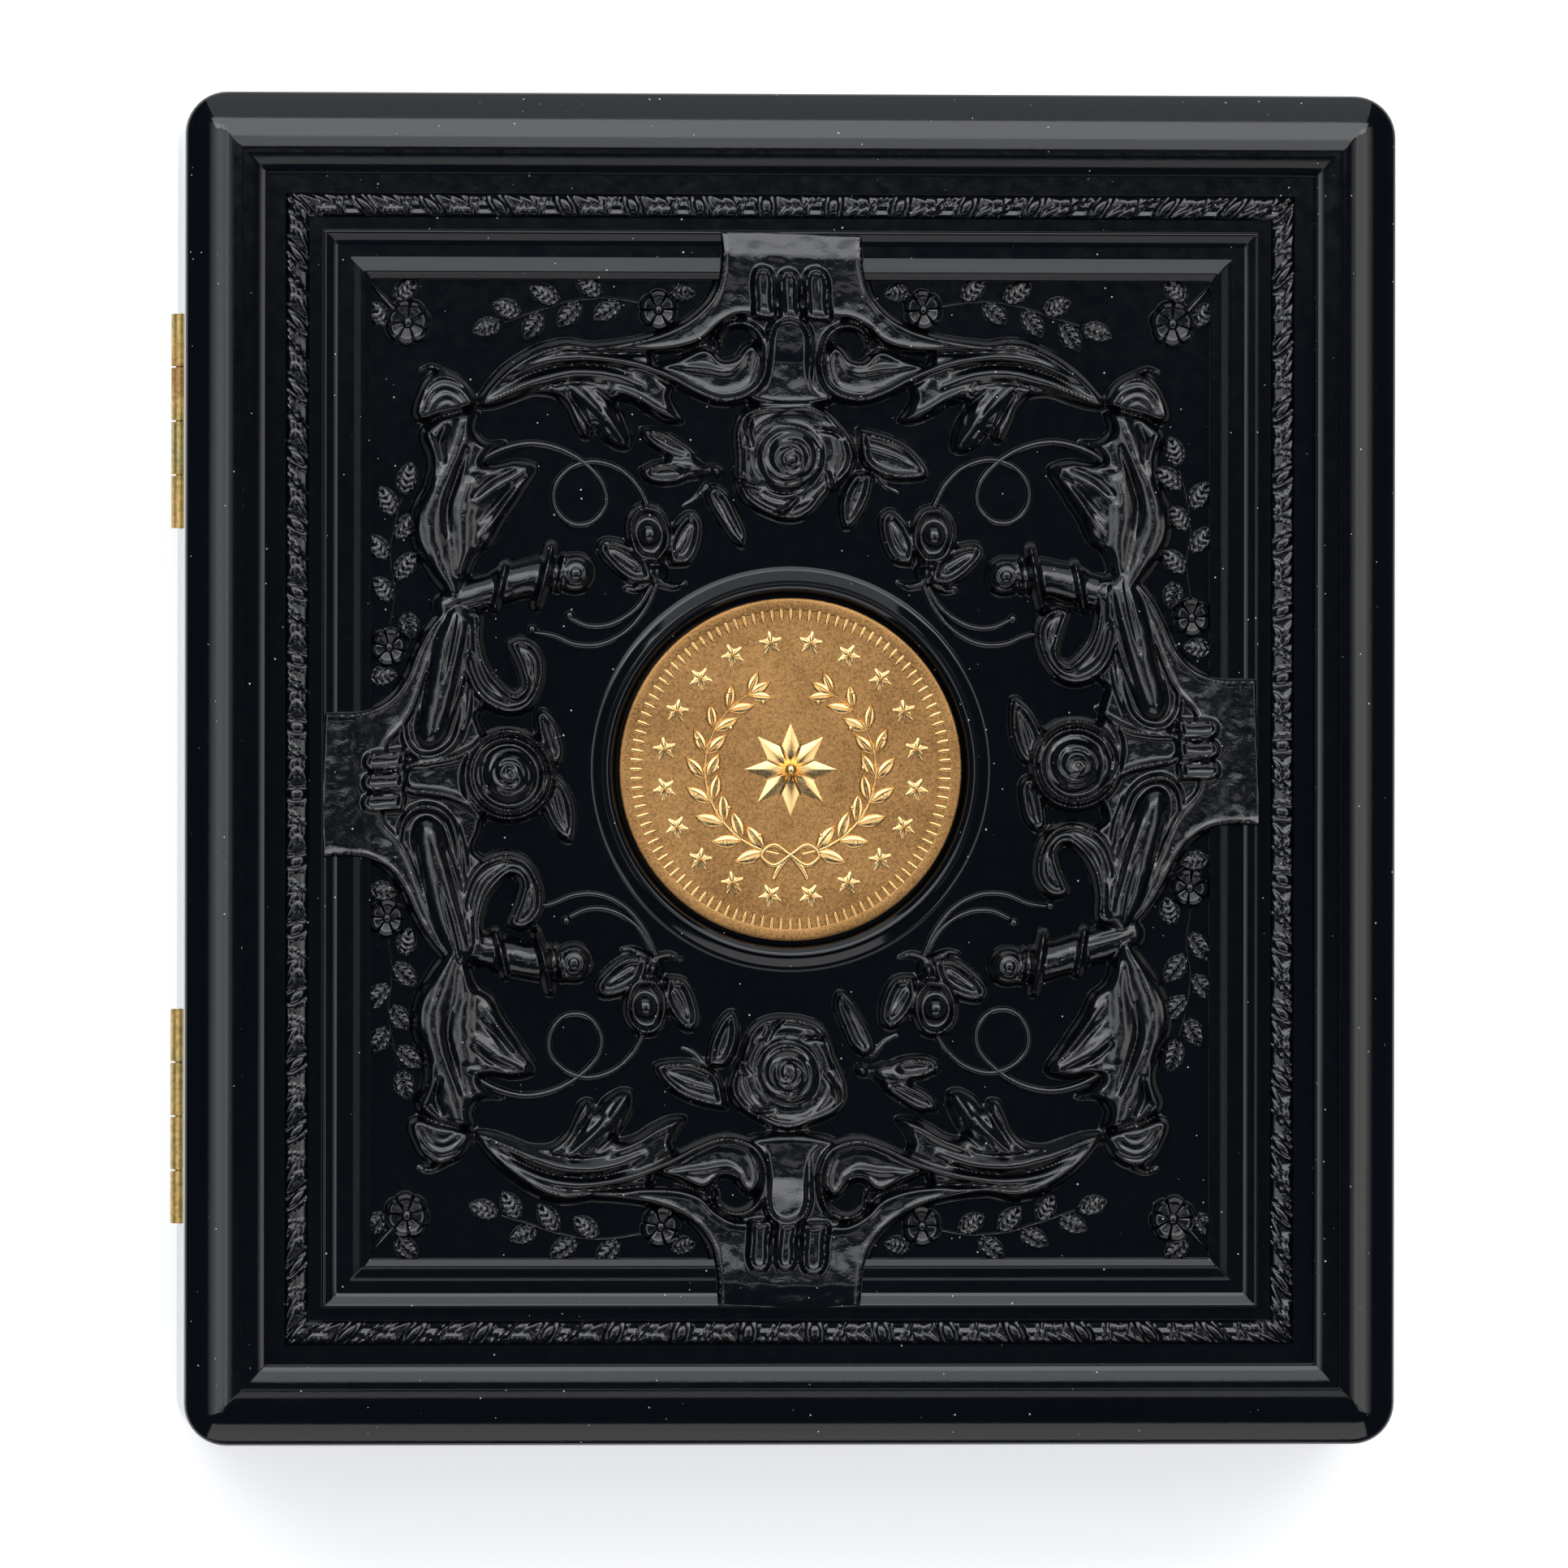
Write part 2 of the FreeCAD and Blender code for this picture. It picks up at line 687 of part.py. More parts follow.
base_rim = rim_blank("base_rim", size.lip_height)
cut_hinge_seats(base_rim)
cut_rivet_holes(base_rim, size.rim_height - size.base_rivet_drop, base_catch_face)
place(base_rim, 0, 0, size.cover_height)

lid_rim = rim_blank("lid_rim")
rebate_width = size.lip_width + size.lip_clearance
rebate = sketch_on(lid_rim, "XY_Plane", size.rim_height)
centred_rectangle(rebate, opening_width + rebate_width * 2, opening_length + rebate_width * 2)
pocket(lid_rim, rebate, size.lip_height + size.lip_clearance - size.parting_gap)
cut_hinge_seats(lid_rim)
lid_catch_bottom = size.rim_height - size.lid_catch_start
lid_plate_depth = size.catch_thickness + size.catch_clearance
catch_seat = sketch_on(lid_rim, "XZ_Plane")
rectangle(catch_seat, opening_face - size.overrun, lid_catch_bottom - size.lid_catch_height,
          opening_face + lid_plate_depth, lid_catch_bottom)
pocket(lid_rim, catch_seat, size.catch_width + size.catch_clearance * 2, "Symmetric")
cut_rivet_holes(lid_rim, size.rim_height - size.lid_rivet_rise, lid_catch_face)
place(lid_rim, 0, 0, lid_glue_height, FLIP)


# Hinges: two leaves with alternate knuckles on a pin, built about the hinge axis along Y

knuckle_length = (size.hinge_length - size.knuckle_gap * 3) / 4
knuckle_step = knuckle_length + size.knuckle_gap


def hinge_leaf(label):
    """The lid's leaf of a hinge: a plate with two of the four knuckles."""
    body = new_body(label)
    half = size.hinge_length / 2
    plate = sketch_on(body, "XY_Plane", size.parting_gap / 2)
    comb = [(size.leaf_reach, -half), (size.leaf_reach, half)]
    for first in (0, 2):
        high = half - knuckle_step * first
        low = high - knuckle_length
        if first:
            comb.append((groove_radius, high))
        comb.append((0, high))
        comb.append((0, low))
        comb.append((groove_radius, low))
    comb.append((groove_radius, -half))
    outline(plate, comb)
    pad(body, plate, size.leaf_thickness)
    for first in (0, 2):
        barrel = sketch_on(body, "XZ_Plane", -half + knuckle_step * first)
        circle(barrel, size.barrel_radius)
        pad(body, barrel, knuckle_length)
    bore = sketch_on(body, "XZ_Plane")
    circle(bore, size.hinge_pin_radius + size.hinge_pin_clearance)
    pocket(body, bore, size.hinge_length + size.overrun * 2, "Symmetric")
    holes = sketch_on(body, "XY_Plane", size.parting_gap / 2)
    for step in (-1, 0, 1):
        circle(holes, size.nail_radius + size.nail_clearance, size.nail_inset, size.nail_spacing * step)
    pocket(body, holes, size.leaf_thickness + size.overrun, turned=True)
    lowest = level(size.parting_gap / 2)
    chamfer(body, size.nail_head_radius - size.nail_radius,
            lambda edge: lowest(edge) and edge.Curve.TypeId == "Part::GeomCircle")
    return body


def hinge_pin(label):
    """The pin of a hinge."""
    body = new_body(label)
    end = sketch_on(body, "XZ_Plane")
    circle(end, size.hinge_pin_radius)
    pad(body, end, size.hinge_length, "Symmetric")
    return body


for name, centre in (("upper", hinge_half), ("lower", -hinge_half)):
    place(hinge_leaf(name + "_hinge_lid_leaf"), axis_x, centre, axis_height)
    place(hinge_leaf(name + "_hinge_base_leaf"), axis_x, centre, axis_height, FLIP)
    place(hinge_pin(name + "_hinge_pin"), axis_x, centre, axis_height)


# Fasteners: one turned pattern each, set in place as a group of separate solids

def fastener(label, points):
    """One turned fastener, kept as a pattern and not as a node."""
    body = new_body(label)
    nodes.remove(body)
    revolve(body, points)
    return body


def group(label, pattern, places):
    """A node of copies of a fastener at places given as positions and a rotation."""
    copies = []
    for x, y, z, rotation in places:
        copy = pattern.Shape.copy()
        copy.Placement = FreeCAD.Placement(FreeCAD.Vector(number(x), number(y), number(z)), rotation)
        copies.append(copy)
    node = doc.addObject("Part::Feature", label)
    node.Label = label
    node.Shape = Part.makeCompound(copies)
    nodes.append(node)
    return node


nail_head_height = size.nail_head_radius - size.nail_radius
nail = fastener("nail_pattern", [
    (0, 0),
    (size.nail_head_radius, 0),
    (size.nail_radius, nail_head_height),
    (size.nail_radius, size.nail_length),
    (0, size.nail_length),
])
nail_rows = [centre + size.nail_spacing * step for centre in (hinge_half, -hinge_half) for step in (-1, 0, 1)]
nail_x = axis_x + size.nail_inset
group("lid_hinge_nails", nail, [(nail_x, y, lid_split_height, UPRIGHT) for y in nail_rows])
group("base_hinge_nails", nail, [(nail_x, y, split_height, FLIP) for y in nail_rows])


# Catch: an upright plate on the base's rim that slides against a plate let into the lid's rim

def catch_plate(label, low, high, rivet_height):
    """A brass plate in the YZ plane between two heights, with two rivet holes."""
    body = new_body(label)
    face = sketch_on(body, "YZ_Plane")
    rectangle(face, -size.catch_width / 2, low, size.catch_width / 2, high)
    for side in (size.rivet_spacing / 2, -size.rivet_spacing / 2):
        circle(face, size.rivet_radius + size.nail_clearance, side, rivet_height)
    pad(body, face, size.catch_thickness)
    return body


base_rivet_height = split_height - size.base_rivet_drop
lid_rivet_height = lid_split_height + size.lid_rivet_rise
lid_catch_low = lid_split_height + size.lid_catch_start
base_catch = catch_plate("base_catch_plate", split_height - size.base_catch_drop,
                         split_height + size.base_catch_rise, base_rivet_height)
place(base_catch, base_catch_face, 0, 0)
lid_catch = catch_plate("lid_catch_plate", lid_catch_low, lid_catch_low + size.lid_catch_height,
                        lid_rivet_height)
place(lid_catch, lid_catch_face, 0, 0)

rivet_shoulder = size.rivet_head_radius - size.rivet_head_height / 2
rivet = fastener("rivet_pattern", [
    (0, -size.rivet_head_height),
    (rivet_shoulder, -size.rivet_head_height),
    (size.rivet_head_radius, 0),
    (size.rivet_radius, 0),
    (size.rivet_radius, size.rivet_length),
    (0, size.rivet_length),
])
SIDEWAYS = FreeCAD.Rotation(FreeCAD.Vector(0, 1, 0), 90)
rivet_sides = (size.rivet_spacing / 2, -size.rivet_spacing / 2)
group("base_catch_rivets", rivet, [(base_catch_face, y, base_rivet_height, SIDEWAYS) for y in rivet_sides])
group("lid_catch_rivets", rivet, [(lid_catch_face, y, lid_rivet_height, SIDEWAYS) for y in rivet_sides])


# Coins and capsules, each turned about its own axis

def coin(label, radius, thickness):
    """A coin blank with a raised rim on both faces."""
    body = new_body(label)
    inner = radius - size.coin_rim_width
    low, high = size.coin_rim_height, thickness - size.coin_rim_height
    revolve(body, [
        (0, low),
        (inner, low),
        (inner, 0),
        (radius, 0),
        (radius, thickness),
        (inner, thickness),
        (inner, high),
        (0, high),
    ])
    return body


def capsule_base(label, radius, coin_radius, floor, seam, top):
    """The lower half of a capsule, with the spigot that the upper half fits over."""
    body = new_body(label)
    bore = coin_radius + size.coin_fit
    spigot = bore + size.capsule_wall
    revolve(body, [
        (0, 0),
        (radius - size.capsule_edge, 0),
        (radius, size.capsule_edge),
        (radius, seam),
        (spigot, seam),
        (spigot, top),
        (bore, top),
        (bore, floor),
        (0, floor),
    ])
    return body


def capsule_lid(label, radius, coin_radius, seam, ceiling):
    """The upper half of a capsule."""
    body = new_body(label)
    socket = coin_radius + size.coin_fit + size.capsule_wall + size.capsule_fit
    revolve(body, [
        (0, ceiling),
        (socket, ceiling),
        (socket, seam),
        (radius, seam),
        (radius, size.capsule_height - size.capsule_edge),
        (radius - size.capsule_edge, size.capsule_height),
        (0, size.capsule_height),
    ])
    return body


lid_floor_level = lid_glue_height + panel_level - size.coin_recess_depth
adhesive = new_body("lid_coin_adhesive")
disc = sketch_on(adhesive, "XY_Plane")
circle(disc, size.lid_coin_radius - size.adhesive_margin)
pad(adhesive, disc, size.adhesive_thickness)
place(adhesive, 0, 0, lid_floor_level)
place(coin("lid_coin", size.lid_coin_radius, size.lid_coin_thickness),
      0, 0, lid_floor_level + size.adhesive_thickness - size.coin_rim_height)

tray_level = size.cover_height
seat_level = tray_level + size.tray_floor

# The large capsule stands in the middle of the far end, the other two beside each other at the near end
large_y = opening_length / 2 - size.capsule_margin - size.large_capsule_radius
medium_x = -opening_width / 2 + size.capsule_margin + size.medium_capsule_radius
medium_y = -opening_length / 2 + size.capsule_margin + size.medium_capsule_radius
small_x = opening_width / 2 - size.capsule_margin - size.small_capsule_radius
SET = [
    ("large", size.large_coin_radius, size.large_coin_thickness, size.large_capsule_radius, 0, large_y),
    ("medium", size.medium_coin_radius, size.medium_coin_thickness, size.medium_capsule_radius,
     medium_x, medium_y),
    ("small", size.small_coin_radius, size.small_coin_thickness, size.small_capsule_radius,
     small_x, medium_y),
]
for name, coin_radius, thickness, radius, x, y in SET:
    floor = (size.capsule_height - thickness - size.coin_fit) / 2
    ceiling = floor + thickness + size.coin_fit
    seam = size.capsule_height / 2
    spigot_top = ceiling - size.capsule_fit
    capsule_foot = capsule_base(name + "_capsule_base", radius, coin_radius, floor, seam, spigot_top)
    place(capsule_foot, x, y, seat_level)
    place(capsule_lid(name + "_capsule_lid", radius, coin_radius, seam, ceiling), x, y, seat_level)
    place(coin(name + "_coin", coin_radius, thickness), x, y, seat_level + floor)


# Tray in the base, with a round seat and two finger notches for each capsule

# Direction of each capsule's notches from its middle, as shares of its radius
notch_shares = {"large": (1, 0), "medium": (-0.7071, 0.7071), "small": (0, 1)}

tray = new_body("coin_tray")
tray_width = opening_width - size.tray_clearance * 2
tray_length = opening_length - size.tray_clearance * 2
blank = sketch_on(tray, "XY_Plane")
centred_rectangle(blank, tray_width, tray_length)
pad(tray, blank, size.tray_height)
fillet(tray, size.inner_corner_radius, upright)
seats = sketch_on(tray, "XY_Plane", size.tray_height)
for name, coin_radius, thickness, radius, x, y in SET:
    circle(seats, radius + size.capsule_clearance, x, y)
pocket(tray, seats, size.tray_height - size.tray_floor)
for side in (1, -1):
    notches = sketch_on(tray, "XY_Plane", size.tray_height)
    for name, coin_radius, thickness, radius, x, y in SET:
        share_x, share_y = notch_shares[name]
        circle(notches, size.notch_radius, radius * (share_x * side) + x, radius * (share_y * side) + y)
    pocket(tray, notches, size.notch_depth)
fillet(tray, size.tray_round, level(size.tray_height))
catch_notch = sketch_on(tray, "XY_Plane", size.tray_height)
half_notch = size.catch_width / 2 + size.leaf_clearance * 3
rectangle(catch_notch, opening_face - size.catch_notch_depth, -half_notch,
          opening_face + size.overrun, half_notch)
pocket(tray, catch_notch, size.tray_height + size.overrun)
place(tray, 0, 0, tray_level)


# Board and pad in the lid

board = new_body("lid_pad_board")
board_face = sketch_on(board, "XY_Plane")
board_width = opening_width - size.board_clearance * 2
board_length = opening_length - size.board_clearance * 2
centred_rectangle(board_face, board_width, board_length)
pad(board, board_face, size.board_thickness)
fillet(board, size.inner_corner_radius, upright)
board_level = lid_glue_height - size.board_thickness
place(board, 0, 0, board_level)

cushion = new_body("lid_pad")
cushion_face = sketch_on(cushion, "XY_Plane")
cushion_width = opening_width - size.pad_clearance * 2
cushion_length = opening_length - size.pad_clearance * 2
centred_rectangle(cushion_face, cushion_width, cushion_length)
pad(cushion, cushion_face, size.pad_thickness)
fillet(cushion, size.pad_corner_radius, upright)
fillet(cushion, size.pad_round, level(0))
place(cushion, 0, 0, board_level - size.pad_thickness)


# Every object has to be sound before anything is written

doc.recompute()
for thing in doc.Objects:
    if "Invalid" in thing.State or "Error" in thing.State:
        raise RuntimeError("%s failed: %s" % (thing.Label, thing.State))
for feature in doc.Objects:
    if feature.TypeId == "PartDesign::Pocket" and feature.Shape.Volume >= feature.BaseFeature.Shape.Volume:
        raise RuntimeError("%s cuts nothing" % feature.Label)
for node in nodes:
    if node.Shape.isNull() or not node.Shape.isValid():
        raise RuntimeError("%s has no sound shape" % node.Label)
for node in nodes:
    node.Shape.exportStep("parts/%s.step" % node.Label)
    print("%-24s %d solids, volume %.2f" % (node.Label, len(node.Shape.Solids), node.Shape.Volume))
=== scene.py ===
import json
import math
from collections import namedtuple

import bpy
import numpy as np
from mathutils import Matrix, Vector


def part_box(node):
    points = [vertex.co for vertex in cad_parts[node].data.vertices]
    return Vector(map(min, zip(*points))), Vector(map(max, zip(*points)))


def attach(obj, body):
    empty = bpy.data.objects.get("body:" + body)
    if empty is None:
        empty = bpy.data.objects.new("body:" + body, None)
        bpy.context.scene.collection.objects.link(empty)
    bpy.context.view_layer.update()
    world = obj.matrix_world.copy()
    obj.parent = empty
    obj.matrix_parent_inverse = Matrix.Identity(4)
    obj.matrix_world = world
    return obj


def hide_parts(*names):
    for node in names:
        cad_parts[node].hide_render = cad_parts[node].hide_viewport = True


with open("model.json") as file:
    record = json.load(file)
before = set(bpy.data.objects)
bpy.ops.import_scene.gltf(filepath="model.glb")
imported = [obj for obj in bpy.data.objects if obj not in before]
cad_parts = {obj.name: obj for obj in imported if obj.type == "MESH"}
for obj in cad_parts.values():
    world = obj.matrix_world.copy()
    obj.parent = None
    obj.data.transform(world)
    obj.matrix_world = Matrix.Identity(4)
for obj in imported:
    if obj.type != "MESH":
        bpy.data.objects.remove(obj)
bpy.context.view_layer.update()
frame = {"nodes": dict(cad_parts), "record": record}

# Looks of a closed coin case with a carved lid. Lengths are millimetres until a mesh is made.
MM = 0.001
SEED = 7
draws = np.random.default_rng(SEED)


def box(node):
    """Lowest and highest corner of a node in millimetres."""
    low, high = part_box(node)
    return np.array(low) / MM, np.array(high) / MM


# Sizes that the frame gives
cover_low, cover_high = box("lid_cover")
HALF_X, HALF_Y = cover_high[0], cover_high[1]
FOOT, CREST = cover_low[2], cover_high[2]
COIN_RADIUS = box("lid_coin")[1][0]

# Moulding of the lid: heights are above the panel, insets are from the outer edge
CREST_RISE = 3.1
PANEL = CREST - CREST_RISE
CORNER_RADIUS = 3.3
MITRE_RADIUS = 0.12
OVOLO_INSET = 4.4
OVOLO_RADIUS = 6.2
LEDGE_RISE = 2.2
CUSP_INSET, CUSP_END = 4.85, 6.2
BAND_OUTER, BAND_INNER = 7.85, 9.8
FRAME_INSET, PANEL_INSET = 10.8, 14.8
FRAME_RISE = 0.9
RING_RADIUS = 15.65
RING_RISE = 0.55
RECESS_RADIUS = COIN_RADIUS + 0.3
RECESS_DEPTH = 1.9
SINK = 0.12

CORNER_STEPS = 10
SIDE_STEPS = 44
OVOLO_STEPS = 26
CUSP_STEPS = 10
CARVE_STEP = 0.24
LEAST_WIDTH = 0.04
BLUNT_TIP = 0.06
SHARP = math.radians(38)


# Curves and patches

def bend(w, step, first, last, first_slope, last_slope):
    """A smooth curve between two values with given slopes, at a share w of the step between them."""
    return ((1 + 2 * w) * (1 - w) ** 2 * first + w * (1 - w) ** 2 * step * first_slope
            + w * w * (3 - 2 * w) * last + w * w * (w - 1) * step * last_slope)


def through(points, count):
    """Points spread evenly along a smooth curve through the given points."""
    given = np.asarray(points, float)
    gaps = np.linalg.norm(np.diff(given, axis=0), axis=1)
    at = np.concatenate([[0], np.cumsum(np.sqrt(gaps))])
    slope = np.gradient(given, at, axis=0)
    fine = np.linspace(0, at[-1], count * 8)
    k = np.clip(np.searchsorted(at, fine, "right") - 1, 0, len(at) - 2)
    step = at[k + 1] - at[k]
    w = ((fine - at[k]) / step)[:, None]
    dense = bend(w, step[:, None], given[k], given[k + 1], slope[k], slope[k + 1])
    run = np.concatenate([[0], np.cumsum(np.linalg.norm(np.diff(dense, axis=0), axis=1))])
    even = np.linspace(0, run[-1], count)
    return np.stack([np.interp(even, run, dense[:, c]) for c in range(given.shape[1])], 1)


def along(values, s):
    """Values at even places along a stroke, joined smoothly."""
    values = np.atleast_1d(np.asarray(values, float))
    if len(values) == 1:
        return np.full_like(s, values[0])
    at = np.linspace(0, 1, len(values))
    slope = np.gradient(values, at)
    k = np.clip(np.searchsorted(at, s, "right") - 1, 0, len(at) - 2)
    step = at[1]
    return bend((s - at[k]) / step, step, values[k], values[k + 1], slope[k], slope[k + 1])


def grid_faces(rows, columns):
    """Quads of a grid of points, and the loop round its edge."""
    index = np.arange(rows * columns).reshape(rows, columns)
    quads = np.stack([index[:-1, :-1], index[1:, :-1], index[1:, 1:], index[:-1, 1:]], -1)
    rim = np.concatenate([index[0, :], index[1:, -1], index[-1, -2::-1], index[-2:0:-1, 0]])
    return quads.reshape(-1, 4), rim


class Carving:
    """Patches of relief that stand on one level, gathered into one mesh."""

    def __init__(self, level):
        self.level = level
        self.points = []
        self.faces = []
        self.count = 0

    def add(self, points, faces):
        """Points with their faces, as they are."""
        self.points.append(np.asarray(points, float))
        self.faces += [[i + self.count for i in face] for face in faces]
        self.count += len(points)

    def patch(self, grid):
        """A grid of points, walled in and closed below the level that it stands on."""
        grid = np.pad(grid, ((1, 1), (1, 1), (0, 0)), mode="edge")
        low = self.level - SINK
        grid[[0, -1], :, 2] = low
        grid[:, [0, -1], 2] = low
        quads, rim = grid_faces(*grid.shape[:2])
        self.add(grid.reshape(-1, 3), quads.tolist() + [rim.tolist()])

    def loops(self, rows):
        """Closed loops joined one to the next, with the first and the last filled in."""
        index = np.arange(rows.shape[0] * rows.shape[1]).reshape(rows.shape[:2])
        turned = np.roll(index, -1, axis=1)
        quads = np.stack([index[:-1], turned[:-1], turned[1:], index[1:]], -1).reshape(-1, 4)
        self.add(rows.reshape(-1, 3), quads.tolist() + [index[0, ::-1].tolist(), index[-1].tolist()])

    def disc(self, grid):
        """Rings of points from a middle outwards, closed in the middle and below the level."""
        wall = grid[-1:].copy()
        wall[:, :, 2] = self.level - SINK
        grid = np.concatenate([grid, wall])
        rows, columns = grid.shape[:2]
        index = np.arange(rows * columns).reshape(rows, columns)
        turned = np.roll(index, -1, axis=1)
        quads = np.stack([index[:-1], index[1:], turned[1:], turned[:-1]], -1)
        ends = [index[0].tolist(), index[-1, ::-1].tolist()]
        self.add(grid.reshape(-1, 3), quads.reshape(-1, 4).tolist() + ends)

    def stroke(self, points, widths, heights, section, across, step=CARVE_STEP, blunt=(0, 0)):
        """A raised stroke along a curve, with widths and heights given at even places along it.

        Blunt gives the lengths over which its start and its end round off.
        """
        length = np.sum(np.linalg.norm(np.diff(np.asarray(points, float), axis=0), axis=1))
        path = through(points, max(6, int(length / step) + 2))
        s = np.linspace(0, 1, len(path))
        tangent = np.gradient(path, axis=0)
        tangent /= np.linalg.norm(tangent, axis=1)[:, None]
        left = np.stack([-tangent[:, 1], tangent[:, 0]], 1)
        half = np.maximum(along(widths, s), LEAST_WIDTH) / 2
        for reach, run in zip(blunt, (s * length, (1 - s) * length)):
            if reach:
                short = np.clip(1 - run / reach, 0, 1)
                half = half * np.maximum(np.sqrt(1 - short ** 2), BLUNT_TIP)
        v = np.sin(np.linspace(-1, 1, across) * math.pi / 2)
        plan = path[:, None, :] + left[:, None, :] * (half[:, None] * v)[:, :, None]
        rise = along(heights, s)[:, None] * section(s[:, None], v[None, :])
        self.patch(np.dstack([plan, self.level + rise]))

    def rings(self, centre, radii, height, columns, base=0.0):
        """A round patch whose radius and height follow functions of the share of the radius and the angle."""
        share = np.linspace(0.02, 1, radii)[:, None]
        angle = np.linspace(0, 2 * math.pi, columns, endpoint=False)[None, :]
        reach, rise = height(share, angle)
        x = centre[0] + reach * np.cos(angle)
        y = centre[1] + reach * np.sin(angle)
        self.disc(np.dstack([x, y, self.level + base + rise]))

    def piece(self, name, body, material):
        """The finished mesh as a piece that rides on a body."""
        mesh = bpy.data.meshes.new(name)
        mesh.from_pydata(np.concatenate(self.points) * MM, [], self.faces)
        mesh.polygons.foreach_set("use_smooth", [True] * len(mesh.polygons))
        mesh.materials.append(material)
        mesh.set_sharp_from_angle(angle=SHARP)
        thing = bpy.data.objects.new(name, mesh)
        bpy.context.scene.collection.objects.link(thing)
        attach(thing, body)
        return thing


# Sections of a stroke: height shares for a place along it, s, and across it, v

def domed(s, v):
    return np.sqrt(np.clip(1 - v * v, 0, 1)) + 0 * s


def veined(s, v):
    a = np.abs(v)
    rim = 0.22 * np.exp(-((a - 0.8) / 0.12) ** 2)
    rib = 0.18 * np.exp(-(v / 0.12) ** 2)
    veins = 0.1 * np.cos(2 * math.pi * (5 * s - 1.2 * a))
    return np.clip((1 - a) / 0.12, 0.25, 1) * (0.5 + 0.25 * (1 - a * a) + rim + rib + veins)


def bladed(s, v):
    return np.sqrt(np.clip(1 - v * v, 0, 1)) * (1 - 0.45 * np.exp(-(v / 0.14) ** 2)) + 0 * s


# Materials

def nodes_of(name):
    """A new material with its node tree, output shader and a coordinate in object space."""
    material = bpy.data.materials.new(name)
    material.use_nodes = True
    tree = material.node_tree
    shader = tree.nodes["Principled BSDF"]
    place = tree.nodes.new("ShaderNodeTexCoord").outputs["Object"]
    return material, tree, shader, place


def noise(tree, place, scale, detail=4.0, rough=0.55):
    """A noise value in object space, with its scale in features per metre."""
    node = tree.nodes.new("ShaderNodeTexNoise")
    node.inputs["Scale"].default_value = scale
    node.inputs["Detail"].default_value = detail
    node.inputs["Roughness"].default_value = rough
    tree.links.new(place, node.inputs["Vector"])
    return node.outputs["Fac"]


def ramp(tree, value, stops):
    """Colours at places of a value."""
    node = tree.nodes.new("ShaderNodeValToRGB")
    bands = node.color_ramp.elements
    while len(bands) < len(stops):
        bands.new(0.5)
    for band, (at, colour) in zip(bands, stops):
        band.position = at
        band.color = (*colour, 1)
    tree.links.new(value, node.inputs["Fac"])
    return node.outputs["Color"]


def remap(tree, value, low, high, to_low, to_high):
    """A value moved from one span to another and held inside it."""
    node = tree.nodes.new("ShaderNodeMapRange")
    for name, number in (("From Min", low), ("From Max", high), ("To Min", to_low), ("To Max", to_high)):
        node.inputs[name].default_value = number
    tree.links.new(value, node.inputs["Value"])
    return node.outputs["Result"]


def mix(tree, share, first, second, blend="MIX"):
    """One colour over another by a share."""
    node = tree.nodes.new("ShaderNodeMix")
    node.data_type = "RGBA"
    node.blend_type = blend
    for socket, value in ((node.inputs["Factor"], share), (node.inputs["A"], first), (node.inputs["B"], second)):
        if isinstance(value, tuple):
            socket.default_value = (*value, 1)
        elif isinstance(value, float):
            socket.default_value = value
        else:
            tree.links.new(value, socket)
    return node.outputs["Result"]


def times(tree, first, second, operation="MULTIPLY"):
    """Two values multiplied, or joined by another operation."""
    node = tree.nodes.new("ShaderNodeMath")
    node.operation = operation
    for socket, value in zip(node.inputs, (first, second)):
        if isinstance(value, (int, float)):
            socket.default_value = value
        else:
            tree.links.new(value, socket)
    return node.outputs["Value"]


def bump(tree, shader, height, strength, distance):
    """A bump of the shader's surface, with its depth in metres."""
    node = tree.nodes.new("ShaderNodeBump")
    node.inputs["Strength"].default_value = strength
    node.inputs["Distance"].default_value = distance
    tree.links.new(height, node.inputs["Height"])
    tree.links.new(node.outputs["Normal"], shader.inputs["Normal"])


def specks(tree, place, scale, share, size):
    """Sparse round specks: 1 inside a speck and 0 elsewhere."""
    node = tree.nodes.new("ShaderNodeTexVoronoi")
    node.inputs["Scale"].default_value = scale
    tree.links.new(place, node.inputs["Vector"])
    pick = tree.nodes.new("ShaderNodeSeparateColor")
    tree.links.new(node.outputs["Color"], pick.inputs["Color"])
    chosen = times(tree, pick.outputs["Red"], share, "LESS_THAN")
    reach = times(tree, pick.outputs["Green"], size)
    inside = times(tree, node.outputs["Distance"], reach, "LESS_THAN")
    return times(tree, chosen, inside)


BLACK_DEEP, BLACK_PALE = (0.0009, 0.0012, 0.0018), (0.0016, 0.0020, 0.0028)
DUST_COLOUR = (0.5, 0.5, 0.48)
DUST_CELLS, DUST_SHARE, DUST_SIZE = 1500, 0.26, 0.11


def black_plastic(name, grain, grain_depth, wave, wave_share, smooth, rough, index):
    """Glossy moulded black plastic with faint clouding, dust, and a bump of fine grain on longer waves."""
    material, tree, shader, place = nodes_of(name)
    cloud = noise(tree, place, 60)
    tone = ramp(tree, cloud, [(0.3, BLACK_DEEP), (0.7, BLACK_PALE)])
    dust = specks(tree, place, DUST_CELLS, DUST_SHARE, DUST_SIZE)
    tree.links.new(mix(tree, dust, tone, DUST_COLOUR), shader.inputs["Base Color"])
    gloss = remap(tree, noise(tree, place, 900), 0.3, 0.7, smooth, rough)
    tree.links.new(times(tree, gloss, dust, "MAXIMUM"), shader.inputs["Roughness"])
    shader.inputs["IOR"].default_value = index
    waves = times(tree, noise(tree, place, wave, 3), wave_share)
    bump(tree, shader, times(tree, noise(tree, place, grain, 6), waves, "ADD"), 0.5, grain_depth)
    return material


